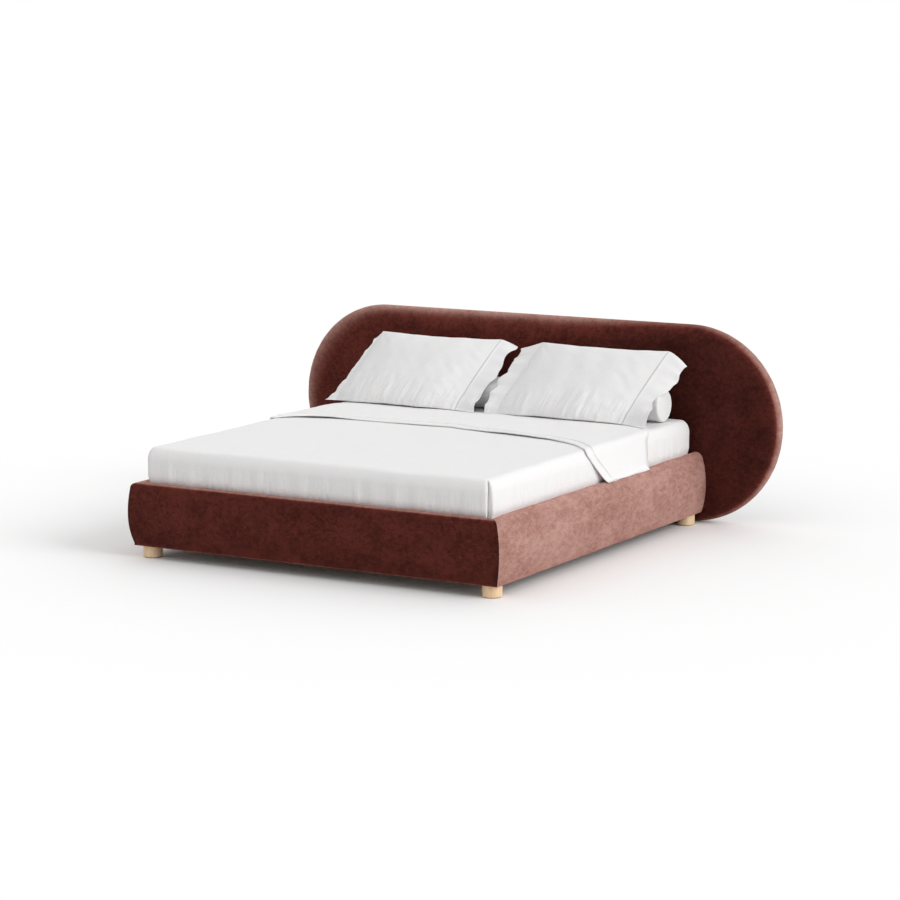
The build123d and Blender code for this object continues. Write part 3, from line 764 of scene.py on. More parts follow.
@dataclass
class RoundEndedHeadboard:
    """The long headboard with half-round ends: a padded front and rim, a lined back and its staples."""

    velvet: Material
    lining: Material
    steel: Material
    width: float = 2700.0
    height: float = 972.0
    front_y: float = 985.0
    thickness: float = 120.0
    front_roll: float = 112.0
    back_roll: float = 55.0
    rim_depth: float = 60.0
    lining_inset: float = 47.0
    hem_y: float = 0.3
    staple_inset: float = 5.0
    staple_reach: float = 5.5
    staple_half: float = 0.7
    staple_stand: float = 1.0

    def ring(self, straight: int, turn: int, inset: Array) -> Tuple[Array, Array, Array]:
        """Places at some insets from the outline, clockwise seen from the front.

        A place is its point on the middle line plus the outward direction times half the height less
        the inset.

        Args:
            straight: stations on each straight run.
            turn: stations on each half-round end.
            inset: the insets.

        Returns:
            x and z, each stations by insets, and the stations' outward directions.
        """
        half = self.height / 2
        reach = self.width / 2 - half
        run = np.linspace(-reach, reach, straight)
        right = np.radians(np.linspace(90, -90, turn + 2)[1:-1])
        left = np.radians(np.linspace(-90, -270, turn + 2)[1:-1])
        middle = np.concatenate([run, np.full(turn, reach), run[::-1], np.full(turn, -reach)])
        level = np.full(straight, math.pi / 2)
        angle = np.concatenate([level, right, -level, left])
        way = stacked(np.cos(angle), np.sin(angle))
        return (middle[:, None] + way[:, None, 0] * (half - inset),
                half + way[:, None, 1] * (half - inset), way)

    def build_cover(self) -> Piece:
        """Make the velvet shell: a flat face, a wide elliptical roll at the rim, a tighter one to the back.

        On each roll the inset is the roll's width times one minus sine, the depth its reach times one
        minus cosine.

        Returns:
            The headboard's velvet.
        """
        half = self.height / 2
        over = np.radians(np.linspace(0, 90, 17))
        inset, depth = [], []
        for roll, reach, count in ((self.front_roll, self.rim_depth, 24),
                                   (self.back_roll, self.thickness - self.rim_depth, 14)):
            face = roll + np.geomspace(1, half - roll + 1, count)[:0:-1] - 1
            inset.append(np.concatenate([face, roll * (1 - np.sin(over))]))
            depth.append(np.concatenate([np.zeros(count - 1), reach * (1 - np.cos(over))]))
        inset = np.concatenate([inset[0], inset[1][-2::-1]])
        depth = np.concatenate([depth[0], self.thickness - depth[1][-2::-1]])
        x, z, way = self.ring(120, 96, inset)
        on_face = rise(inset, self.front_roll - 30, self.front_roll + 60) * (depth < 4)
        angle = np.arctan2(way[:, None, 1], way[:, None, 0])
        gather = np.sin(angle * 46 + 2.2 * np.sin(angle * 9))
        pucker = 0.55 * bell(inset, 18, 24) * np.abs(way[:, None, 0]) * gather
        fill = 0.9 * ripple(stacked(x, z), 260, 41) * on_face
        lift = -1.6 * on_face * (1 - 0.6 * rise(inset, 180, half))
        x = x + way[:, None, 0] * pucker
        z = z + way[:, None, 1] * pucker
        y = self.front_y + depth + np.clip(fill + lift + 1.6 * on_face, -1.2, 2.4) * on_face
        grid = stacked(x, y, z).transpose(1, 0, 2)
        # Its velvet carries painted sheen at the rim and painted shade towards the right end
        piece = make_piece("headboard_upholstery", grid, self.velvet, weld=0.05,
                           painted_sheen_and_shade=self.painted_light_of(inset[:, None], depth[:, None], x.T, np.maximum(way[:, 0], 0)))
        dress(piece, "bed_frame", "velvet", ("headboard_cover", "headboard_foam"))
        return piece

    def painted_light_of(self, inset: Array, depth: Array, x: Array, endwise: Array) -> Array:
        """Painted sheen and shade for the headboard's velvet: sheen over the rim, widest on top and at the
        left end, and shade towards the right end.

        Args:
            inset: each row's distance in from the outline.
            depth: each row's distance behind the face.
            x: places across the bed.
            endwise: how far each station's outward direction points to the right.

        Returns:
            A value for each point, from -1 painted shade to 1 painted sheen.
        """
        # Painted sheen over the front rim, fading inwards, wider at the left end, fainter towards the right
        # and narrow on the right end; the back roll gets it evenly
        front = depth < self.rim_depth + 12
        wide = np.where(front, 0.98 * np.exp(-inset / (28 + 40 * rise(-x, 800, 1200))), 0.7)
        wide = wide * (1 - 0.55 * rise(x, 100, 800))
        narrow_sheen_paint = np.where(front, 0.95 * np.clip(1 - inset / 38, 0, 1) ** 2, 0.6)
        pile = wide * (1 - endwise) + narrow_sheen_paint * endwise
        # Painted shade darkens the face towards the right end and a little towards the left, and gives way
        # where painted sheen is
        painted_shade = (0.9 * rise(x, 60, 950) + 0.1 * rise(-x, 300, 900)) * front
        return pile - painted_shade * (1 - rise(pile, 0.0, 0.35))

    def build_lining(self) -> Piece:
        """Make the back cloth: a thin sheet with a turned hem, slightly slack between its staples.

        Returns:
            The lining.
        """
        back = self.front_y + self.thickness
        half = self.height / 2 - self.lining_inset
        step = np.array([0, 0.5, 2, 8, 9.5, 11, 16, 30, 60, 110, 180, 260, 340, half])
        inset = self.lining_inset + step
        x, z, _ = self.ring(90, 64, inset)
        stand = np.full(len(step), 0.6)
        stand[:5] = 0.2, 1.0, 1.3, 1.3, 0.9
        slack = 0.5 * ripple(stacked(x, z), 150, 52) * rise(inset, 58, 120)
        front = stacked(x, back + stand + np.clip(slack, -0.5, 0.9), z).transpose(1, 0, 2)
        behind = front[::-1].copy()
        behind[..., 1] = back - self.hem_y
        grid = np.concatenate([front[::-1], behind[::-1]])
        piece = make_piece("headboard_lining", grid, self.lining, weld=0.05)
        # Its flat form is a rectangle between two half circles
        dress(piece, "bed_frame", "lining_cloth", ("headboard_back_cloth",))
        return piece

    def build_staples(self) -> Piece:
        """Make the wire staples round the lining's hem, as small flat bars along the outline.

        Returns:
            All staples in one piece.
        """
        x, z, way = self.ring(34, 21, np.array([self.lining_inset + self.staple_inset]))
        along = stacked(way[:, 1], -way[:, 0])
        back = self.front_y + self.thickness + self.staple_stand
        corners = []
        for level in (0, 1):
            for end, out in CORNERS[2:] + CORNERS[:2]:
                place = np.concatenate([x, z], axis=1) + along * self.staple_reach * end
                place = place + way * self.staple_half * out
                corners.append(stacked(place[:, 0], back + level, place[:, 1]))
        points = np.stack(corners, axis=1).reshape(-1, 3)
        box = np.array([[0, 3, 2, 1], [4, 5, 6, 7], [0, 1, 5, 4], [1, 2, 6, 5], [2, 3, 7, 6], [3, 0, 4, 7]])
        faces = (box[None] + np.arange(len(x))[:, None, None] * 8).reshape(-1, 4)
        piece = make_piece("lining_staples", points, self.steel, faces, sharp=30)
        dress(piece, "bed_frame", "zinc_steel")
        return piece

    def build(self) -> List[Piece]:
        """Make the headboard's velvet, lining and staples."""
        return [self.build_cover(), self.build_lining(), self.build_staples()]


# ---- the bedding


def top_unevenness(x: Array, y: Array) -> Array:
    """How far the mattress top lies below its full height: shallow hollows, never above it."""
    spots = stacked(x, y)
    return np.minimum(ripple(spots, 420, 61) * 0.8 + ripple(spots, 130, 62) * 0.25 - 1.2, 0)


def side_fullness(z: Array) -> Array:
    """How far the mattress's sides stand out at each height above the rails."""
    return FULLNESS * rise(z, *FILLS_OUT) * (1 - rise(z, *DRAWS_IN))


@dataclass
class DressedMattress:
    """The sprung mattress in its fitted sheet: full sides, darted corners and small tension wrinkles."""

    linen: Material
    half_width: float = 900.0
    front_y: float = -1047.0
    rear_y: float = 953.0
    bottom_z: float = 268.0
    top_z: float = 518.0
    corner: float = 36.0
    top_round: float = 32.0
    bottom_round: float = 22.0
    dart_depth: float = 24.0
    dart_roll: float = 2.6
    station: float = 15.0

    def outline(self) -> Tuple[Array, Array, Array, Array]:
        """The mattress seen from above: four rounded corners joined by straight sides.

        Returns:
            Points, outward directions, distance from the nearest corner's middle, and distance travelled.
        """
        lean = np.linspace(-1, 1, 33)
        share = 0.5 + 0.5 * np.sign(lean) * np.abs(lean) ** 1.7
        middle_y = (self.front_y + self.rear_y) / 2
        half_length = (self.rear_y - self.front_y) / 2
        points, ways, middles = [], [], []
        cut = self.corner * (1 - math.sqrt(0.5))
        for index, (side, end) in enumerate(CORNERS):
            angle = np.radians(90 * (index + share))
            way = stacked(np.cos(angle), np.sin(angle))
            centre = np.array([side * (self.half_width - self.corner),
                               middle_y + end * (half_length - self.corner)])
            middles.append([side * (self.half_width - cut), middle_y + end * (half_length - cut)])
            points.append(centre + way * self.corner)
            ways.append(way)
            along = (half_length if index % 2 else self.half_width) - self.corner
            go = np.array([-way[-1][1], way[-1][0]])
            run = np.linspace(0, along * 2, int(along * 2 / self.station) + 1)[1:-1]
            points.append(points[-1][-1] + go * run[:, None])
            ways.append(np.repeat(way[-1:], len(run), axis=0))
        points, ways = np.concatenate(points), np.concatenate(ways)
        apart = points[:, None] - np.array(middles)[None]
        nearest = np.argmin(np.linalg.norm(apart, axis=-1), axis=1)
        offset = apart[np.arange(len(points)), nearest]
        turned = offset[:, 0] * -ways[:, 1] + offset[:, 1] * ways[:, 0]
        walked = np.concatenate([[0], np.cumsum(np.linalg.norm(np.diff(points, axis=0), axis=1))])
        return points, ways, turned, walked

    def build(self) -> Piece:
        """Make the mattress from its outline and a profile that goes from the bottom's middle to the top's.

        Inside the edges the outline shrinks towards the middle; on them it moves in by the profile's inset.

        Returns:
            The dressed mattress.
        """
        points, ways, from_dart, walked = self.outline()
        base = arc((self.bottom_round, self.bottom_z + self.bottom_round), self.bottom_round, 270, 180, 7)
        peak = arc((self.top_round, self.top_z - self.top_round), self.top_round, 180, 90, 12)
        sides = np.linspace(base[-1][1], peak[0][1], 20)[1:-1]
        under = np.array([0, 0.15, 0.4, 0.6, 0.8, 0.92, 0.97])
        over = 1 - np.linspace(0, 1, 35)[1:] ** 1.15
        inset = np.concatenate([np.full(len(under), base[0][0]), base[:, 0], np.zeros(len(sides)),
                                peak[:, 0], np.full(len(over), peak[-1][0])])
        z = np.concatenate([np.full(len(under), base[0][1]), base[:, 1], sides,
                            peak[:, 1], np.full(len(over), self.top_z)])
        shrink = np.concatenate([under, np.ones(len(base) + len(sides) + len(peak)), over])
        middle_y = (self.front_y + self.rear_y) / 2
        across, along = ways[:, None, 0], ways[:, None, 1]
        x = (points[:, None, 0] - across * inset) * shrink
        y = (points[:, None, 1] - along * inset - middle_y) * shrink + middle_y
        level = np.broadcast_to(z, x.shape)
        # Full sides above the rails, a dart at each corner with a soft roll beside it, upright creases
        out = side_fullness(level) * (shrink == 1)
        dart = rise(level, self.top_z, self.top_z - 26) * rise(level, 262, 300)
        near = from_dart[:, None]
        wide = 4.0 + 3.2 * rise(level, self.top_z - 20, self.top_z - 130)
        out = out - self.dart_depth * np.exp(-(near / wide) ** 4) * dart
        out = out + self.dart_roll * (bell(near, 12, 7) + bell(near, -13, 8)) * dart
        path = walked[:, None]
        folds = ripple(path, 24, 63)[:, None] * bell(level, 365, 45) * 1.5
        folds = folds + ripple(path, 85, 64)[:, None] * bell(level, 395, 60) * 1.6
        creases = np.maximum(ripple(path, 44, 66)[:, None] - 0.9, 0) * bell(level, 385, 62) * 4.2
        under_sheet = rise(y, -150, -100) * (1 - rise(y, 430, 500)) * (np.abs(across) > 0.7)
        calm = rise(np.abs(near), 25, 90) * (1 - under_sheet)
        out = out + (folds + creases) * calm * (level > 262) * (level < self.top_z - 6)
        x, y = x + across * out, y + along * out
        sink = top_unevenness(x, y) * rise(level, self.top_z - 14, self.top_z)
        grid = stacked(x, y, level + sink).transpose(1, 0, 2)
        piece = make_piece("dressed_mattress", grid, self.linen, weld=0.05, sharp=80)
        dress(piece, "mattress_set", "cotton_percale", ("mattress", "fitted_sheet"))
        return piece


@dataclass
class FoldedTopSheet:
    """The top sheet, folded double and laid across the bed with its ends over the side rails."""

    linen: Material
    half_flat: float = 876.5
    bend: float = 33.0
    bend_angle: float = 79.54
    level: float = 520.0
    drop: float = 125.0
    lip: float = 24.0
    lip_bend: float = 30.0
    cloth: float = 0.8
    border: float = 90.0
    mattress_half: float = 900.0
    front: Rows = (
        (-1072, 80), (-930, 20), (-905, -10), (-890, -35), (-830, 25), (-737, 77), (-627, 106),
        (-548, 114), (-300, 133), (16, 147), (176, 122), (300, 98), (428, 71), (616, 48), (720, 8),
        (788, -33), (850, -95), (893, -138), (915, -154), (1072, 2))
    rear: Rows = (
        (-1072, 432), (-930, 470), (-890, 520), (-820, 640), (-700, 680), (700, 680), (820, 640),
        (890, 520), (930, 470), (1072, 432))

    def across(self, count: int) -> Tuple[Array, Array, Array]:
        """The line that the sheet follows across the bed: flat, over the edge, down, out over the rail.

        The line's slope is given along its length, and its places are the running sums of cosine and sine.

        Args:
            count: number of stations.

        Returns:
            Distance along the line from the middle, its points as (x, z), and its upward directions.
        """
        turn = math.radians(self.bend_angle)
        hang = self.half_flat + self.bend * turn
        end = hang + self.drop + self.lip
        walk = np.linspace(-end, end, count)
        fine = np.linspace(0, end, 3000)
        slope = np.clip((fine - self.half_flat) / self.bend, 0, turn)
        slope = slope - np.maximum(fine - hang - self.drop, 0) / self.lip_bend
        step = fine[1] - fine[0]
        far_x = np.concatenate([[0], np.cumsum(np.cos(slope))[:-1]]) * step
        far_z = self.level - np.concatenate([[0], np.cumsum(np.sin(slope))[:-1]]) * step
        far, side = np.abs(walk), np.sign(walk)
        angle = np.interp(far, fine, slope)
        line = stacked(side * np.interp(far, fine, far_x), np.interp(far, fine, far_z))
        return walk, line, stacked(side * np.sin(angle), np.cos(angle))

    def edge(self, table: Rows, walk: Array) -> Array:
        """Read an edge's place along the bed from a table and smooth it over about 50 mm.

        Args:
            table: rows of distance across and place along the bed.
            walk: distance across of each station.

        Returns:
            The edge's place at each station.
        """
        knots = np.array(table, dtype=float)
        fine = np.linspace(walk[0], walk[-1], 1400)
        window = np.hanning(35)
        padded = np.pad(np.interp(fine, knots[:, 0], knots[:, 1]), 17, "edge")
        return np.interp(walk, fine, np.convolve(padded, window / window.sum(), "valid"))

    def build(self) -> Piece:
        """Make the sheet's middle surface: lower layer, rolled front fold, upper layer with its hem step.

        Returns:
            The top sheet.
        """
        walk, line, up = self.across(210)
        front, rear = self.edge(self.front, walk), self.edge(self.rear, walk)
        near = np.array([0, 2, 5, 9, 14, 20, 28, 38, 46, 51, 54, 56, 57.5, 59, 61, 64, 69, 78, 90])
        far = np.linspace(0, 1, 26)[1:]
        roll = np.radians(np.linspace(270, 90, 9))[1:-1]
        low_near, low_far = near[::3][::-1], far[::2][::-1]
        # Each column lies at a distance behind the front edge, then at a share of the way to the rear edge
        distance = np.concatenate([np.full(len(low_far), self.border), low_near, 2.9 * np.cos(roll) - 0.2,
                                   near, np.full(len(far), self.border)])
        share = np.concatenate([low_far, np.zeros(len(low_near) + len(roll) + len(near)), far])
        count_low = len(low_far) + len(low_near)
        upper = 4.4 - 3.6 * bell(near, 55.4, 2.8) + 2.2 * rise(near, 56, 59.5)
        height = np.concatenate([np.full(count_low, -1.2), 1.6 + 2.8 * np.sin(roll), upper,
                                 6.6 - 4.2 * rise(far, 0, 0.35) - 2.6 * rise(far, 0.8, 1.0)])
        y = front[:, None] + distance + share * (rear - front - self.border)[:, None]
        walked = walk[:, None]
        spots = stacked(walked, y)
        flat = rise(-np.abs(walked), -880, -840)
        lift = 7.0 * bell(walked, 430, 240) + 9.0 * bell(walked, -690, 150) + 2.0 * bell(walked, -150, 160)
        lift = lift * np.exp(-np.maximum(distance, 0) / 42) * (share == 0) * flat
        layer = np.concatenate([np.zeros(count_low), np.linspace(0, 1, len(roll)),
                                np.ones(len(near) + len(far))])
        soft = (ripple(spots, 240, 71) * 0.55 + ripple(spots, 90, 72) * 0.25) * layer
        sway = 3.4 * np.sin(y / 38 + 0.9) * rise(np.abs(walked), 905, 1060) * (0.4 + 0.6 * layer)
        raise_by = height + np.maximum(soft + 0.4, 0) + lift + sway
        x = line[:, None, 0] + up[:, None, 0] * raise_by
        z = line[:, None, 1] + up[:, None, 1] * raise_by + top_unevenness(x, y) * flat
        # Towards its rear edge the hanging end lies close against the full side of the mattress
        full = self.mattress_half + side_fullness(z) + layer
        close = rise(share * layer, 0.35, 0.95) * rise(np.abs(walked), 900, 935) * rise(z, 372, 400)
        x = x + (np.sign(x) * full - x) * close
        grid = stacked(x, y, z)
        cloth = stacked(walked, np.cumsum(np.abs(np.gradient(distance + share * 500)))) * MM
        piece = make_piece("folded_top_sheet", grid, self.linen, cloth=cloth, weld=0.0, closed=False)
        thicken(piece, self.cloth)
        dress(piece, "mattress_set", "cotton_percale", ("top_sheet",))
        return piece


@dataclass
class Bolster:
    """The round bolster behind the pillows: a tight roll with puckered end seams."""

    linen: Material
    radius: float = 80.0
    half_length: float = 842.0
    y: float = 800.0
    axis_z: float = 598.3
    end_round: float = 9.0

    def build(self) -> Piece:
        """Make the roll: a profile of place and radius turned round its axis, with ripples near the seams.

        Returns:
            The bolster.
        """
        shoulder = self.half_length - self.end_round
        ends = arc((shoulder, self.radius - self.end_round), self.end_round, 90, 0, 9)
        disc = np.linspace(ends[-1][1] - 3, 0, 9)
        disc_x = self.half_length - 1.5 + 4.0 * (1 - (disc / disc[0]) ** 2) - 1.5 * bell(disc, disc[0], 4)
        shaft = np.append(np.linspace(0, shoulder - 8, 40), shoulder - 4)
        x = np.concatenate([shaft, ends[:, 0], disc_x])
        r = np.concatenate([np.full(len(shaft), self.radius), ends[:, 1], disc])
        r = r - 1.2 * bell(x, self.half_length - self.end_round * 0.3, 2.0) * (r > 40)
        x = np.concatenate([-x[::-1], x[1:]])[:, None]
        r = np.concatenate([r[::-1], r[1:]])[:, None]
        angle = np.radians(np.arange(0, 360, 360 / 96))[None]
        back, up = np.cos(angle), np.sin(angle)
        spots = stacked(x, r * back, r * up)
        near_end = np.exp(-np.maximum(self.half_length - np.abs(x), 0) / 38)
        pucker = 0.8 * near_end * np.sin(angle * 23 + 1.7 * np.sin(angle * 5)) * (r > 50)
        slack = (ripple(spots, 180, 81) * 0.8 - 0.8) * (r > 60)
        radius = r + pucker + np.minimum(slack, 0)
        # Its underside is pressed flat on the sheet
        height = np.maximum(up * radius, -self.radius + 0.5)
        grid = stacked(x, self.y + back * radius, self.axis_z + height)
        cloth = stacked(x, angle * self.radius) * MM
        piece = make_piece("bolster", grid, self.linen, cloth=cloth, weld=0.05)
        dress(piece, "bolster_roll", "cotton_percale", ("bolster_cover", "bolster_filling"))
        return piece


# Each row of a loose edge's form: place up the slant, then how far it spreads, lifts and slides
LEFT_FLAP = ((-1, 32, 20, -20), (-0.9, 18, 16, -10), (-0.75, -6, 10, -4), (-0.45, -10, 4, -2),
             (-0.2, -2, 0, -2), (0.05, 5, -4, -2), (0.3, -16, -10, -4), (0.6, -30, -18, -8),
             (0.8, -24, -22, -10), (1, -14, -26, -18))
RIGHT_FLAP = ((-1, 62, 52, -56), (-0.85, 50, 42, -30), (-0.7, 34, 28, -10), (-0.5, 0, 10, -4),
              (-0.35, -22, 0, -2), (-0.1, -8, -30, -6), (0.2, 8, -42, -10), (0.6, 4, -44, -30),
              (1, 0, -48, -50))
LEFT_FRILL = ((-1, 30, 4, -8), (-0.8, 16, 2, -2), (-0.5, 2, 0, 0), (0.5, -4, 0, 0), (1, -14, -4, -8))
RIGHT_FRILL = ((-1, 20, 6, -6), (-0.8, 14, 6, 0), (-0.6, 44, 4, 0), (-0.35, 34, 2, 0), (-0.12, 52, 0, 0),
               (0.1, 36, -2, 0), (0.37, 42, -8, 0), (0.55, 54, -14, -4), (0.75, 48, -22, -12),
               (0.92, 58, -24, -16), (1, 40, -20, -20))


@dataclass
class LeaningPillow:
    """A stuffed pillow in its case, leaning on the bolster, with an empty flap and a narrow frilled end."""

    linen: Material
    word: str
    middle_x: float
    seed: int
    frill: float
    flap_form: Rows
    frill_form: Rows
    width: float = 690.0
    slant: float = 430.0
    flap: float = 108.0
    front_crown: float = 56.0
    back_crown: float = 20.0
    tilt: float = 50.0
    skew: float = 15.6
    foot_y: float = 617.0
    foot_z: float = 525.4
    bolster_y: float = 800.0
    bolster_z: float = 598.3
    bolster_radius: float = 80.0
    bolster_gap: float = 1.4
    bolster_half: float = 840.0
    rest_z: float = 523.2
    settled: float = 48.0
    rolled: float = 1.15
    spacing: float = 0.86
    unfilled: float = 0.86
    pressure: float = 4.0
    frames: int = 20
    most_swell: float = 16.0

    def flat_form(self) -> Tuple[Array, Array, Array]:
        """The case lying flat: two layers joined all round, crowned over the stuffed body.

        Height is the crown times the root of one minus a high power of the place, both ways, so the body
        is full in the middle and closes at its seams; the sides draw in between the corners.

        Returns:
            A grid of (across, up the slant, height), cloth coordinates, and the numbers of the held points.
        """
        half, tall = self.width / 2, self.slant / 2
        frill = np.linspace(-self.frill, 0, 5)[:-1] - half
        # The grid is closer at the seams: its places follow a sine up to a share of a quarter turn
        reach = math.sin(math.pi / 2 * self.spacing)
        body = half * np.sin(np.linspace(-1, 1, 61) * math.pi / 2 * self.spacing) / reach
        flap = half + np.linspace(0, self.flap, 15)[1:]
        v = np.sin(np.linspace(-1, 1, 39) * math.pi / 2 * self.spacing) / reach
        columns, loop = np.concatenate([frill, body, flap]), np.concatenate([v, v[::-1]])
        run, up = np.meshgrid(columns, loop, indexing="ij")
        front = np.broadcast_to(np.arange(len(loop)) < len(v), run.shape)
        inner = np.clip(1 - np.abs(run / half) ** 2.6, 0, 1)
        # The body falls steeply to its frilled end and gently to the flap
        fall = 0.5 + 0.5 * rise(run / half, 0.15, 0.85)
        crown = np.where(front, self.front_crown, -self.back_crown)
        full = inner ** fall * np.clip(1 - np.abs(up) ** 2.6, 0, 1) ** 0.5
        in_body = np.abs(run) <= half
        lip = np.where(front, 1.3, -1.3) * np.clip(1 - np.abs(up) ** 8, 0, 1)
        height = np.where(in_body, crown * full * self.unfilled, 0) + lip
        drawn = 9.0 * np.clip(1 - (run / half) ** 2, 0, 1)
        x = run - np.sign(run) * 6.0 * (1 - up ** 2) * bell(np.abs(run), half, 60) * in_body
        corner = (np.abs(up) > 0.999) & (np.abs(run) > half * 0.96)
        held = ~in_body | (np.abs(np.abs(run) - half) < 1) | corner
        grid, cloth = stacked(x, up * (tall - drawn), height), stacked(run, up * tall) * MM
        return grid, cloth, np.flatnonzero(held.ravel())

    def form_at(self, form: Rows, v: Array) -> Array:
        """Read a form's table up the slant and smooth it.

        Args:
            form: rows of place up the slant, spread, lift and slide.
            v: place up the slant of each point, from -1 to 1.

        Returns:
            Spread, lift and slide at each point.
        """
        knots = np.array(form)
        fine = np.linspace(-1.1, 1.1, 400)
        window = np.hanning(21) / np.hanning(21).sum()
        padded = [np.pad(np.interp(fine, knots[:, 0], knots[:, k]), 10, "edge") for k in (1, 2, 3)]
        return np.stack([np.interp(v, fine, np.convolve(values, window, "valid")) for values in padded])

    def soften(self, points: Array) -> Array:
        """Bend and crease the flat form: a drooping wavy flap, a small frill, creases low on the front.

        Args:
            points: (across, up the slant, height) of each point.

        Returns:
            The points after it.
        """
        half, tall = self.width / 2, self.slant / 2
        u, w, h = points.T.copy()
        v = w / tall
        out = np.clip((u - half) / self.flap, 0, 1)
        wide, lift, slide = self.form_at(self.flap_form, v)
        wave = 6.0 * np.sin(w / 27 + self.seed) + 3.5 * np.sin(w / 11 + 1.9 * self.seed)
        # A stitched groove runs between the body and the flap
        h = h - np.sign(h) * 1.3 * bell(u, half + 1, 2.4) * (np.abs(v) < 0.97)
        h = h + out ** 1.25 * (wave + lift) + 3.0 * out * (1 - out) * np.sin(w / 17 + u / 30 + self.seed)
        u = u + out * (wide + 4.5 * np.sin(w / 17 + self.seed))
        w = w + out ** 1.4 * slide
        frill = np.clip((-half - u) / self.frill, 0, 1)
        wide, lift, slide = self.form_at(self.frill_form, v)
        size = (self.frill / 24.0) ** 0.5
        h = h + frill * (lift + size * (5.0 * np.sin(w / 14 + self.seed) + 3.0 * np.sin(w / 6.0)))
        u = u - frill * (wide + 4.0 * size * np.sin(w / 12 + 2 * self.seed))
        w = w + frill * slide
        body = np.clip(1 - (u / half) ** 6, 0, 1)
        face = (h > 4) * body
        spots, leaning = stacked(u, w), stacked(u + 0.3 * w, w * 0.14)
        creases = np.maximum(ripple(leaning, 34, self.seed + 5, 20) - 0.5, 0)
        patchy = 0.35 + 0.65 * rise(ripple(spots, 230, self.seed + 9), -0.6, 0.9)
        h = h + creases * 3.4 * face * bell(v, -0.6, 0.34) * patchy
        # Tension lines run from the upper corners and along the seam beside the flap
        fan = ripple(stacked((u - 0.5 * w) * 0.25, (w + 0.5 * u) * 0.9), 46, self.seed + 4)
        h = h + 1.6 * face * fan * bell(u, half * 0.82, 95) * rise(-np.abs(v), -0.95, -0.5)
        h = h + face * (ripple(spots, 170, self.seed + 6) * 1.5 + ripple(spots, 62, self.seed + 7) * 0.5)
        # The filling sinks: the lower front rolls over its seam and rests on the sheet
        w = w - self.rolled * np.maximum(h, 0) * body * rise(-v, 0.45, 0.97)
        return stacked(u, w, h)

    def lean(self, points: Array) -> Array:
        """Stand the flat form on the bed: sheared sideways, tilted back and kept off what it touches.

        Args:
            points: (across, up the slant, height) of each point.

        Returns:
            Places in the bed's frame.
        """
        tilt, skew = math.radians(self.tilt), math.radians(self.skew)
        u, w, h = points.T
        up = w + self.slant / 2
        x = u + w * math.tan(skew)
        y = self.foot_y + up * math.cos(tilt) - h * math.sin(tilt)
        z = self.foot_z + up * math.sin(tilt) + h * math.cos(tilt)
        x = x + self.middle_x
        # Its own weight flattens the lowest part on the sheet: heights near it shrink by a rising power
        share = np.clip((z - self.rest_z) / self.settled, 1e-6, 1)
        low = self.rest_z + self.settled * share ** (2.3 - 1.3 * share)
        z = np.where((z > self.rest_z) & (share < 1), low, z)
        clear = self.bolster_radius + self.bolster_gap
        apart = np.hypot(y - self.bolster_y, z - self.bolster_z)
        push = np.where((apart < clear) & (np.abs(x) < self.bolster_half), clear / np.maximum(apart, 1), 1)
        y = self.bolster_y + (y - self.bolster_y) * push
        z = self.bolster_z + (z - self.bolster_z) * push
        return stacked(x, y, np.maximum(z, self.rest_z + 0.15 * (self.rest_z - z).clip(0, 4)))

    def build(self) -> Piece:
        """Make the pillow: flat form, simulated filling, creases, then its place.

        Returns:
            The pillow.
        """
        grid, cloth, held = self.flat_form()
        columns, around = grid.shape[:2]
        faces = list(grid_faces(columns, around, wrap=True))
        for base in (0, (columns - 1) * around):
            faces.extend([base + i, base + i + 1, base + around - 2 - i, base + around - 1 - i]
                         for i in range(around // 2 - 1))
        name = f"leaning_pillow_{self.word}"
        piece = make_piece(name, grid, self.linen, faces, cloth, weld=0.0, sharp=75)
        swell(piece, held, self.pressure, self.frames, self.most_swell)
        write_points(piece.data, self.lean(self.soften(read_points(piece.data))))
        smooth = piece.modifiers.new("smooth", "SUBSURF")
        smooth.levels = smooth.render_levels = 1
        dress(piece, f"{self.word}_pillow", "cotton_percale",
              (f"pillowcase_{self.word}", f"pillow_{self.word}"))
        return piece


# ---- the parts below


@dataclass
class SlatTapes:
    """The two woven tapes that keep the slats apart, stapled under them."""

    webbing: Material
    place_x: float = 813.0
    wide: float = 25.0
    thick: float = 1.2
    sag: float = 1.6
    gaps: int = 13
    slack: float = 1.002

    def build(self) -> Piece:
        """Make both tapes as thin ribbons that hang slightly between the slats.

        Returns:
            Both tapes in one piece.
        """
        low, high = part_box("slat_tapes")
        start, end, top = low.y / MM, high.y / MM, high.z / MM
        y = np.linspace(start, end, 260)
        sag = -self.sag * np.abs(np.sin((y - start) / (end - start) * math.pi * self.gaps)) - self.thick / 2
        across, z = np.linspace(-0.5, 0.5, 4) * self.wide, top + sag
        ribbons = [stacked(side * self.place_x + across, y[:, None], z[:, None]) for side in (-1, 1)]
        points, faces = joined_grids(ribbons, wrap=False)
        piece = make_piece("slat_tape_ribbons", points, self.webbing, faces, weld=0.0, closed=False)
        thicken(piece, self.thick)
        dress(piece, "bed_frame", "webbing", ("slat_tapes",))
        return piece


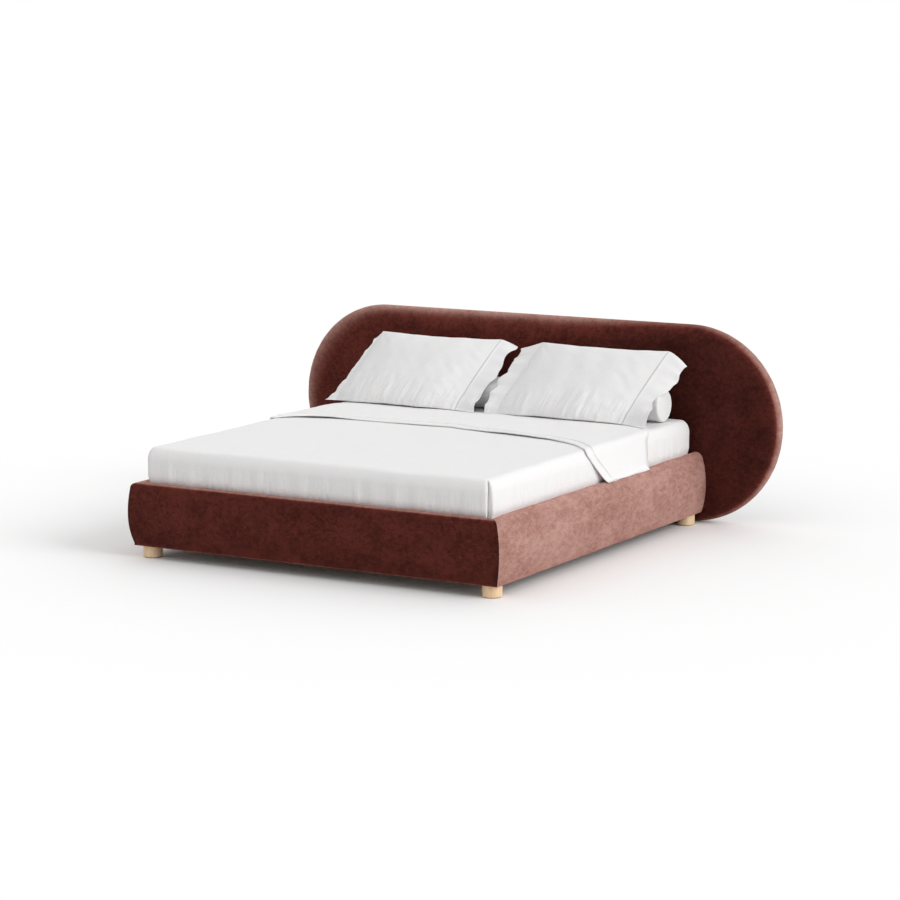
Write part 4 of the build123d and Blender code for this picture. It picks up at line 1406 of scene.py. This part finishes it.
@dataclass
class FeltPads:
    """Pressed felt discs under the legs, with a slightly fluffed rim."""

    felt: Material
    places: Rows = tuple((side * 897.0, y, 39.0) for side in (-1, 1) for y in (-1018.0, 932.0)) + (
        (0.0, -587.0, 16.5), (0.0, 493.0, 16.5))

    def build(self) -> Piece:
        """Make each disc as a low profile turned round its own upright axis.

        Returns:
            All pads in one piece.
        """
        angle = np.radians(np.arange(0, 360, 7.5))
        z = np.array([0, 0, 0, 0.5, 1.5, 2.5, 3, 3, 3])[:, None]
        discs = []
        for x, y, radius in self.places:
            reach = (np.array([0, 0.5, 0.93, 0.99, 1, 0.99, 0.93, 0.5, 0]) * radius)[:, None]
            discs.append(stacked(x + reach * np.cos(angle), y + reach * np.sin(angle), z))
        points, faces = joined_grids(discs, wrap=True)
        piece = make_piece("felt_pads", points, self.felt, faces)
        dress(piece, "bed_frame", "felt", ("leg_pads",))
        return piece


@dataclass
class Woodwork:
    """The wooden and steel nodes that keep their CAD shape, each with its finish."""

    finishes: Dict[str, Material]

    def finish_of(self, node: str) -> Optional[str]:
        """The finish's name for a node, or None where a piece replaces it."""
        table = (("leg_studs", "steel"), ("leg_pads", None), ("leg_", "beech"), ("centre_leg", "beech"),
                 ("slat_tapes", None), ("slat_", "birch"), ("headboard_core", "ply"),
                 ("headboard_bolts", "steel"), ("headboard_washers", "steel"), ("head_board", "spruce_x"),
                 ("foot_board", "spruce_x"), ("side_board", "spruce_y"), ("ledger_screws", "steel"),
                 ("ledger", "spruce_y"), ("centre_beam", "spruce_y"), ("corner_post", "spruce_z"),
                 ("beam_hangers", "steel"), ("corner_angles", "steel"), ("frame_screws", "steel"))
        return next((finish for start, finish in table if node.startswith(start)), None)

    def build(self) -> None:
        """Give every kept node its material."""
        for node, piece in sorted(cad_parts.items()):
            name = self.finish_of(node)
            if name is None:
                continue
            piece.data.materials.clear()
            piece.data.materials.append(self.finishes[name])
            log.info("%s: kept, finish %s", node, name)


# ---- floor, light and camera


@dataclass
class Studio:
    """A pale sweep of floor, even daylight with one soft key light, and the photograph's camera."""

    reach: float = 14.0
    fade: Pair = (1.5, 3.6)
    floor_bounce: Tuple[float, ...] = (0.72, 0.71, 0.705, 1.0)
    azimuth: float = 29.818
    pitch: float = 9.229
    place: Tuple[float, float, float] = (6.994, -12.024, 2.688)
    lens: float = 118.63
    key_strength: float = 1.5
    key_softness: float = 35.0
    key_lean: float = 62.0
    sky: Tuple[Pair, ...] = ((0.0, 0.2), (0.08, 0.46), (0.22, 0.8), (0.45, 0.95), (1.0, 0.6))

    def build_floor(self) -> Piece:
        """Make the floor: a round sheet that turns to plain white for the camera far from the bed.

        Returns:
            The floor.
        """
        nodes = Nodes(bpy.data.materials.new("painted_floor_matt"))
        level = nodes.drawn_out(nodes.place(), (1.0, 1.0, 0.0))
        away = add_node(nodes.tree, "VectorMath", {"operation": "LENGTH"}, {0: level}).outputs["Value"]
        shown = nodes.shown()
        # The camera sees fresh white paint; the light that the floor sends back to the bed is held lower
        paint = nodes.shader({"Base Color": nodes.mixed(shown, self.floor_bounce, WHITE), "Roughness": 0.9,
                              "Specular IOR Level": 0.1})
        white = add_node(nodes.tree, "Emission", inputs={"Color": WHITE, "Strength": 1.0}).outputs[0]
        share = nodes.maths("MULTIPLY", nodes.ranged(away, *self.fade), shown)
        blend = add_node(nodes.tree, "MixShader", inputs={0: share, 1: paint, 2: white}).outputs[0]
        angle = np.radians(np.arange(0, 360, 3.0))
        radius = (np.linspace(0, self.reach, 12) / MM)[:, None]
        ring = stacked(radius * np.cos(angle), radius * np.sin(angle), 0.0)
        floor = make_piece("studio_floor", ring, nodes.close(blend), grid_faces(*ring.shape[:2], wrap=True),
                           closed=False)
        return floor

    def build_world(self) -> None:
        """Light the room by a table of sine of elevation and level, and show it white to the camera."""
        nodes = Nodes(bpy.data.worlds.new("studio_daylight"))
        sky = add_node(nodes.tree, "ValToRGB", inputs={0: nodes.part(nodes.place(), 2)})
        levels = sky.color_ramp.elements
        for place, level in self.sky[1:-1]:
            levels.new(place).color = (level, level, level, 1.0)
        for index in (0, -1):
            levels[index].color = (self.sky[index][1],) * 3 + (1.0,)
        seen = nodes.mixed(nodes.shown(), sky.outputs[0], WHITE)
        back = add_node(nodes.tree, "Background", inputs={"Color": seen, "Strength": 1.0})
        bpy.context.scene.world = nodes.close(back.outputs[0])

    def build_key(self) -> None:
        """Set one wide sun high on the right."""
        sun = bpy.data.lights.new("soft_key", "SUN")
        sun.energy = self.key_strength
        sun.angle = math.radians(self.key_softness)
        key = bpy.data.objects.new("soft_key", sun)
        key.rotation_euler = (0.0, math.radians(self.key_lean), 0.0)
        bpy.context.scene.collection.objects.link(key)

    def build_camera(self) -> None:
        """Place the camera that the photograph was taken with."""
        lens = bpy.data.cameras.new("photo_camera")
        lens.lens = self.lens
        lens.sensor_width = 36.0
        lens.clip_end = 200.0
        camera = bpy.data.objects.new("photo_camera", lens)
        camera.location = self.place
        camera.rotation_euler = (math.radians(90 - self.pitch), 0.0, math.radians(self.azimuth))
        bpy.context.scene.collection.objects.link(camera)
        bpy.context.scene.camera = camera

    def build(self) -> None:
        """Make the whole studio and set the plain view transform."""
        self.build_camera()
        self.build_world()
        self.build_key()
        self.build_floor()
        bpy.context.scene.view_settings.view_transform = "Standard"


def main() -> None:
    """Build the studio, the finishes and every piece in order."""
    logging.basicConfig(level=logging.INFO, format="%(name)s %(message)s")
    Studio().build()
    velvet = CottonVelvet().make()
    steel = ZincPlate().make()
    linen_laid = Percale("cotton_percale_fitted", Pattern.OBJECT, gathers=(360.0, 500.0)).make()
    linen_cut = Percale("cotton_percale_sewn", Pattern.CLOTH).make()
    linen_case = Percale("cotton_percale_pillowcase", Pattern.CLOTH, gathers=(-200.0, -40.0),
                         gather_depth=20.0, hem=348.0).make()
    finishes = {
        "beech": Timber("turned_beech", "F8DDB8", "DDB588", Grain.Z, 8.0, 0.42, 0.15).make(),
        "birch": Timber("sanded_birch_lamella", "D9BF93", "C2A271", Grain.X, 10.0).make(),
        "ply": Timber("birch_plywood", "D3B98C", "B99A6B", Grain.X, 14.0).make(),
        "steel": steel,
    }
    for grain, word in ((Grain.X, "crosswise"), (Grain.Y, "lengthwise"), (Grain.Z, "upright")):
        spruce = Timber(f"planed_spruce_{word}", "DDBE8B", "B98F5A", grain)
        finishes[f"spruce_{grain.name.lower()}"] = spruce.make()
    Woodwork(finishes).build()
    UpholsteredRails(velvet).build()
    lining = CoarseCloth("nonwoven_lining", "1B1B1C", "2C2C2E", 2.5).make()
    RoundEndedHeadboard(velvet, lining, steel).build()
    DressedMattress(linen_laid).build()
    FoldedTopSheet(linen_cut).build()
    Bolster(linen_cut).build()
    LeaningPillow(linen_case, "left", -518.0, 3, 24.0, LEFT_FLAP, LEFT_FRILL).build()
    LeaningPillow(linen_case, "right", 408.0, 8, 52.0, RIGHT_FLAP, RIGHT_FRILL).build()
    SlatTapes(CoarseCloth("woven_tape", "3A3A3B", "5A5958", 2.0).make()).build()
    FeltPads(CoarseCloth("pressed_felt", "35322F", "55504B", 1.8, 0.8).make()).build()


if __name__ == "__main__":
    main()
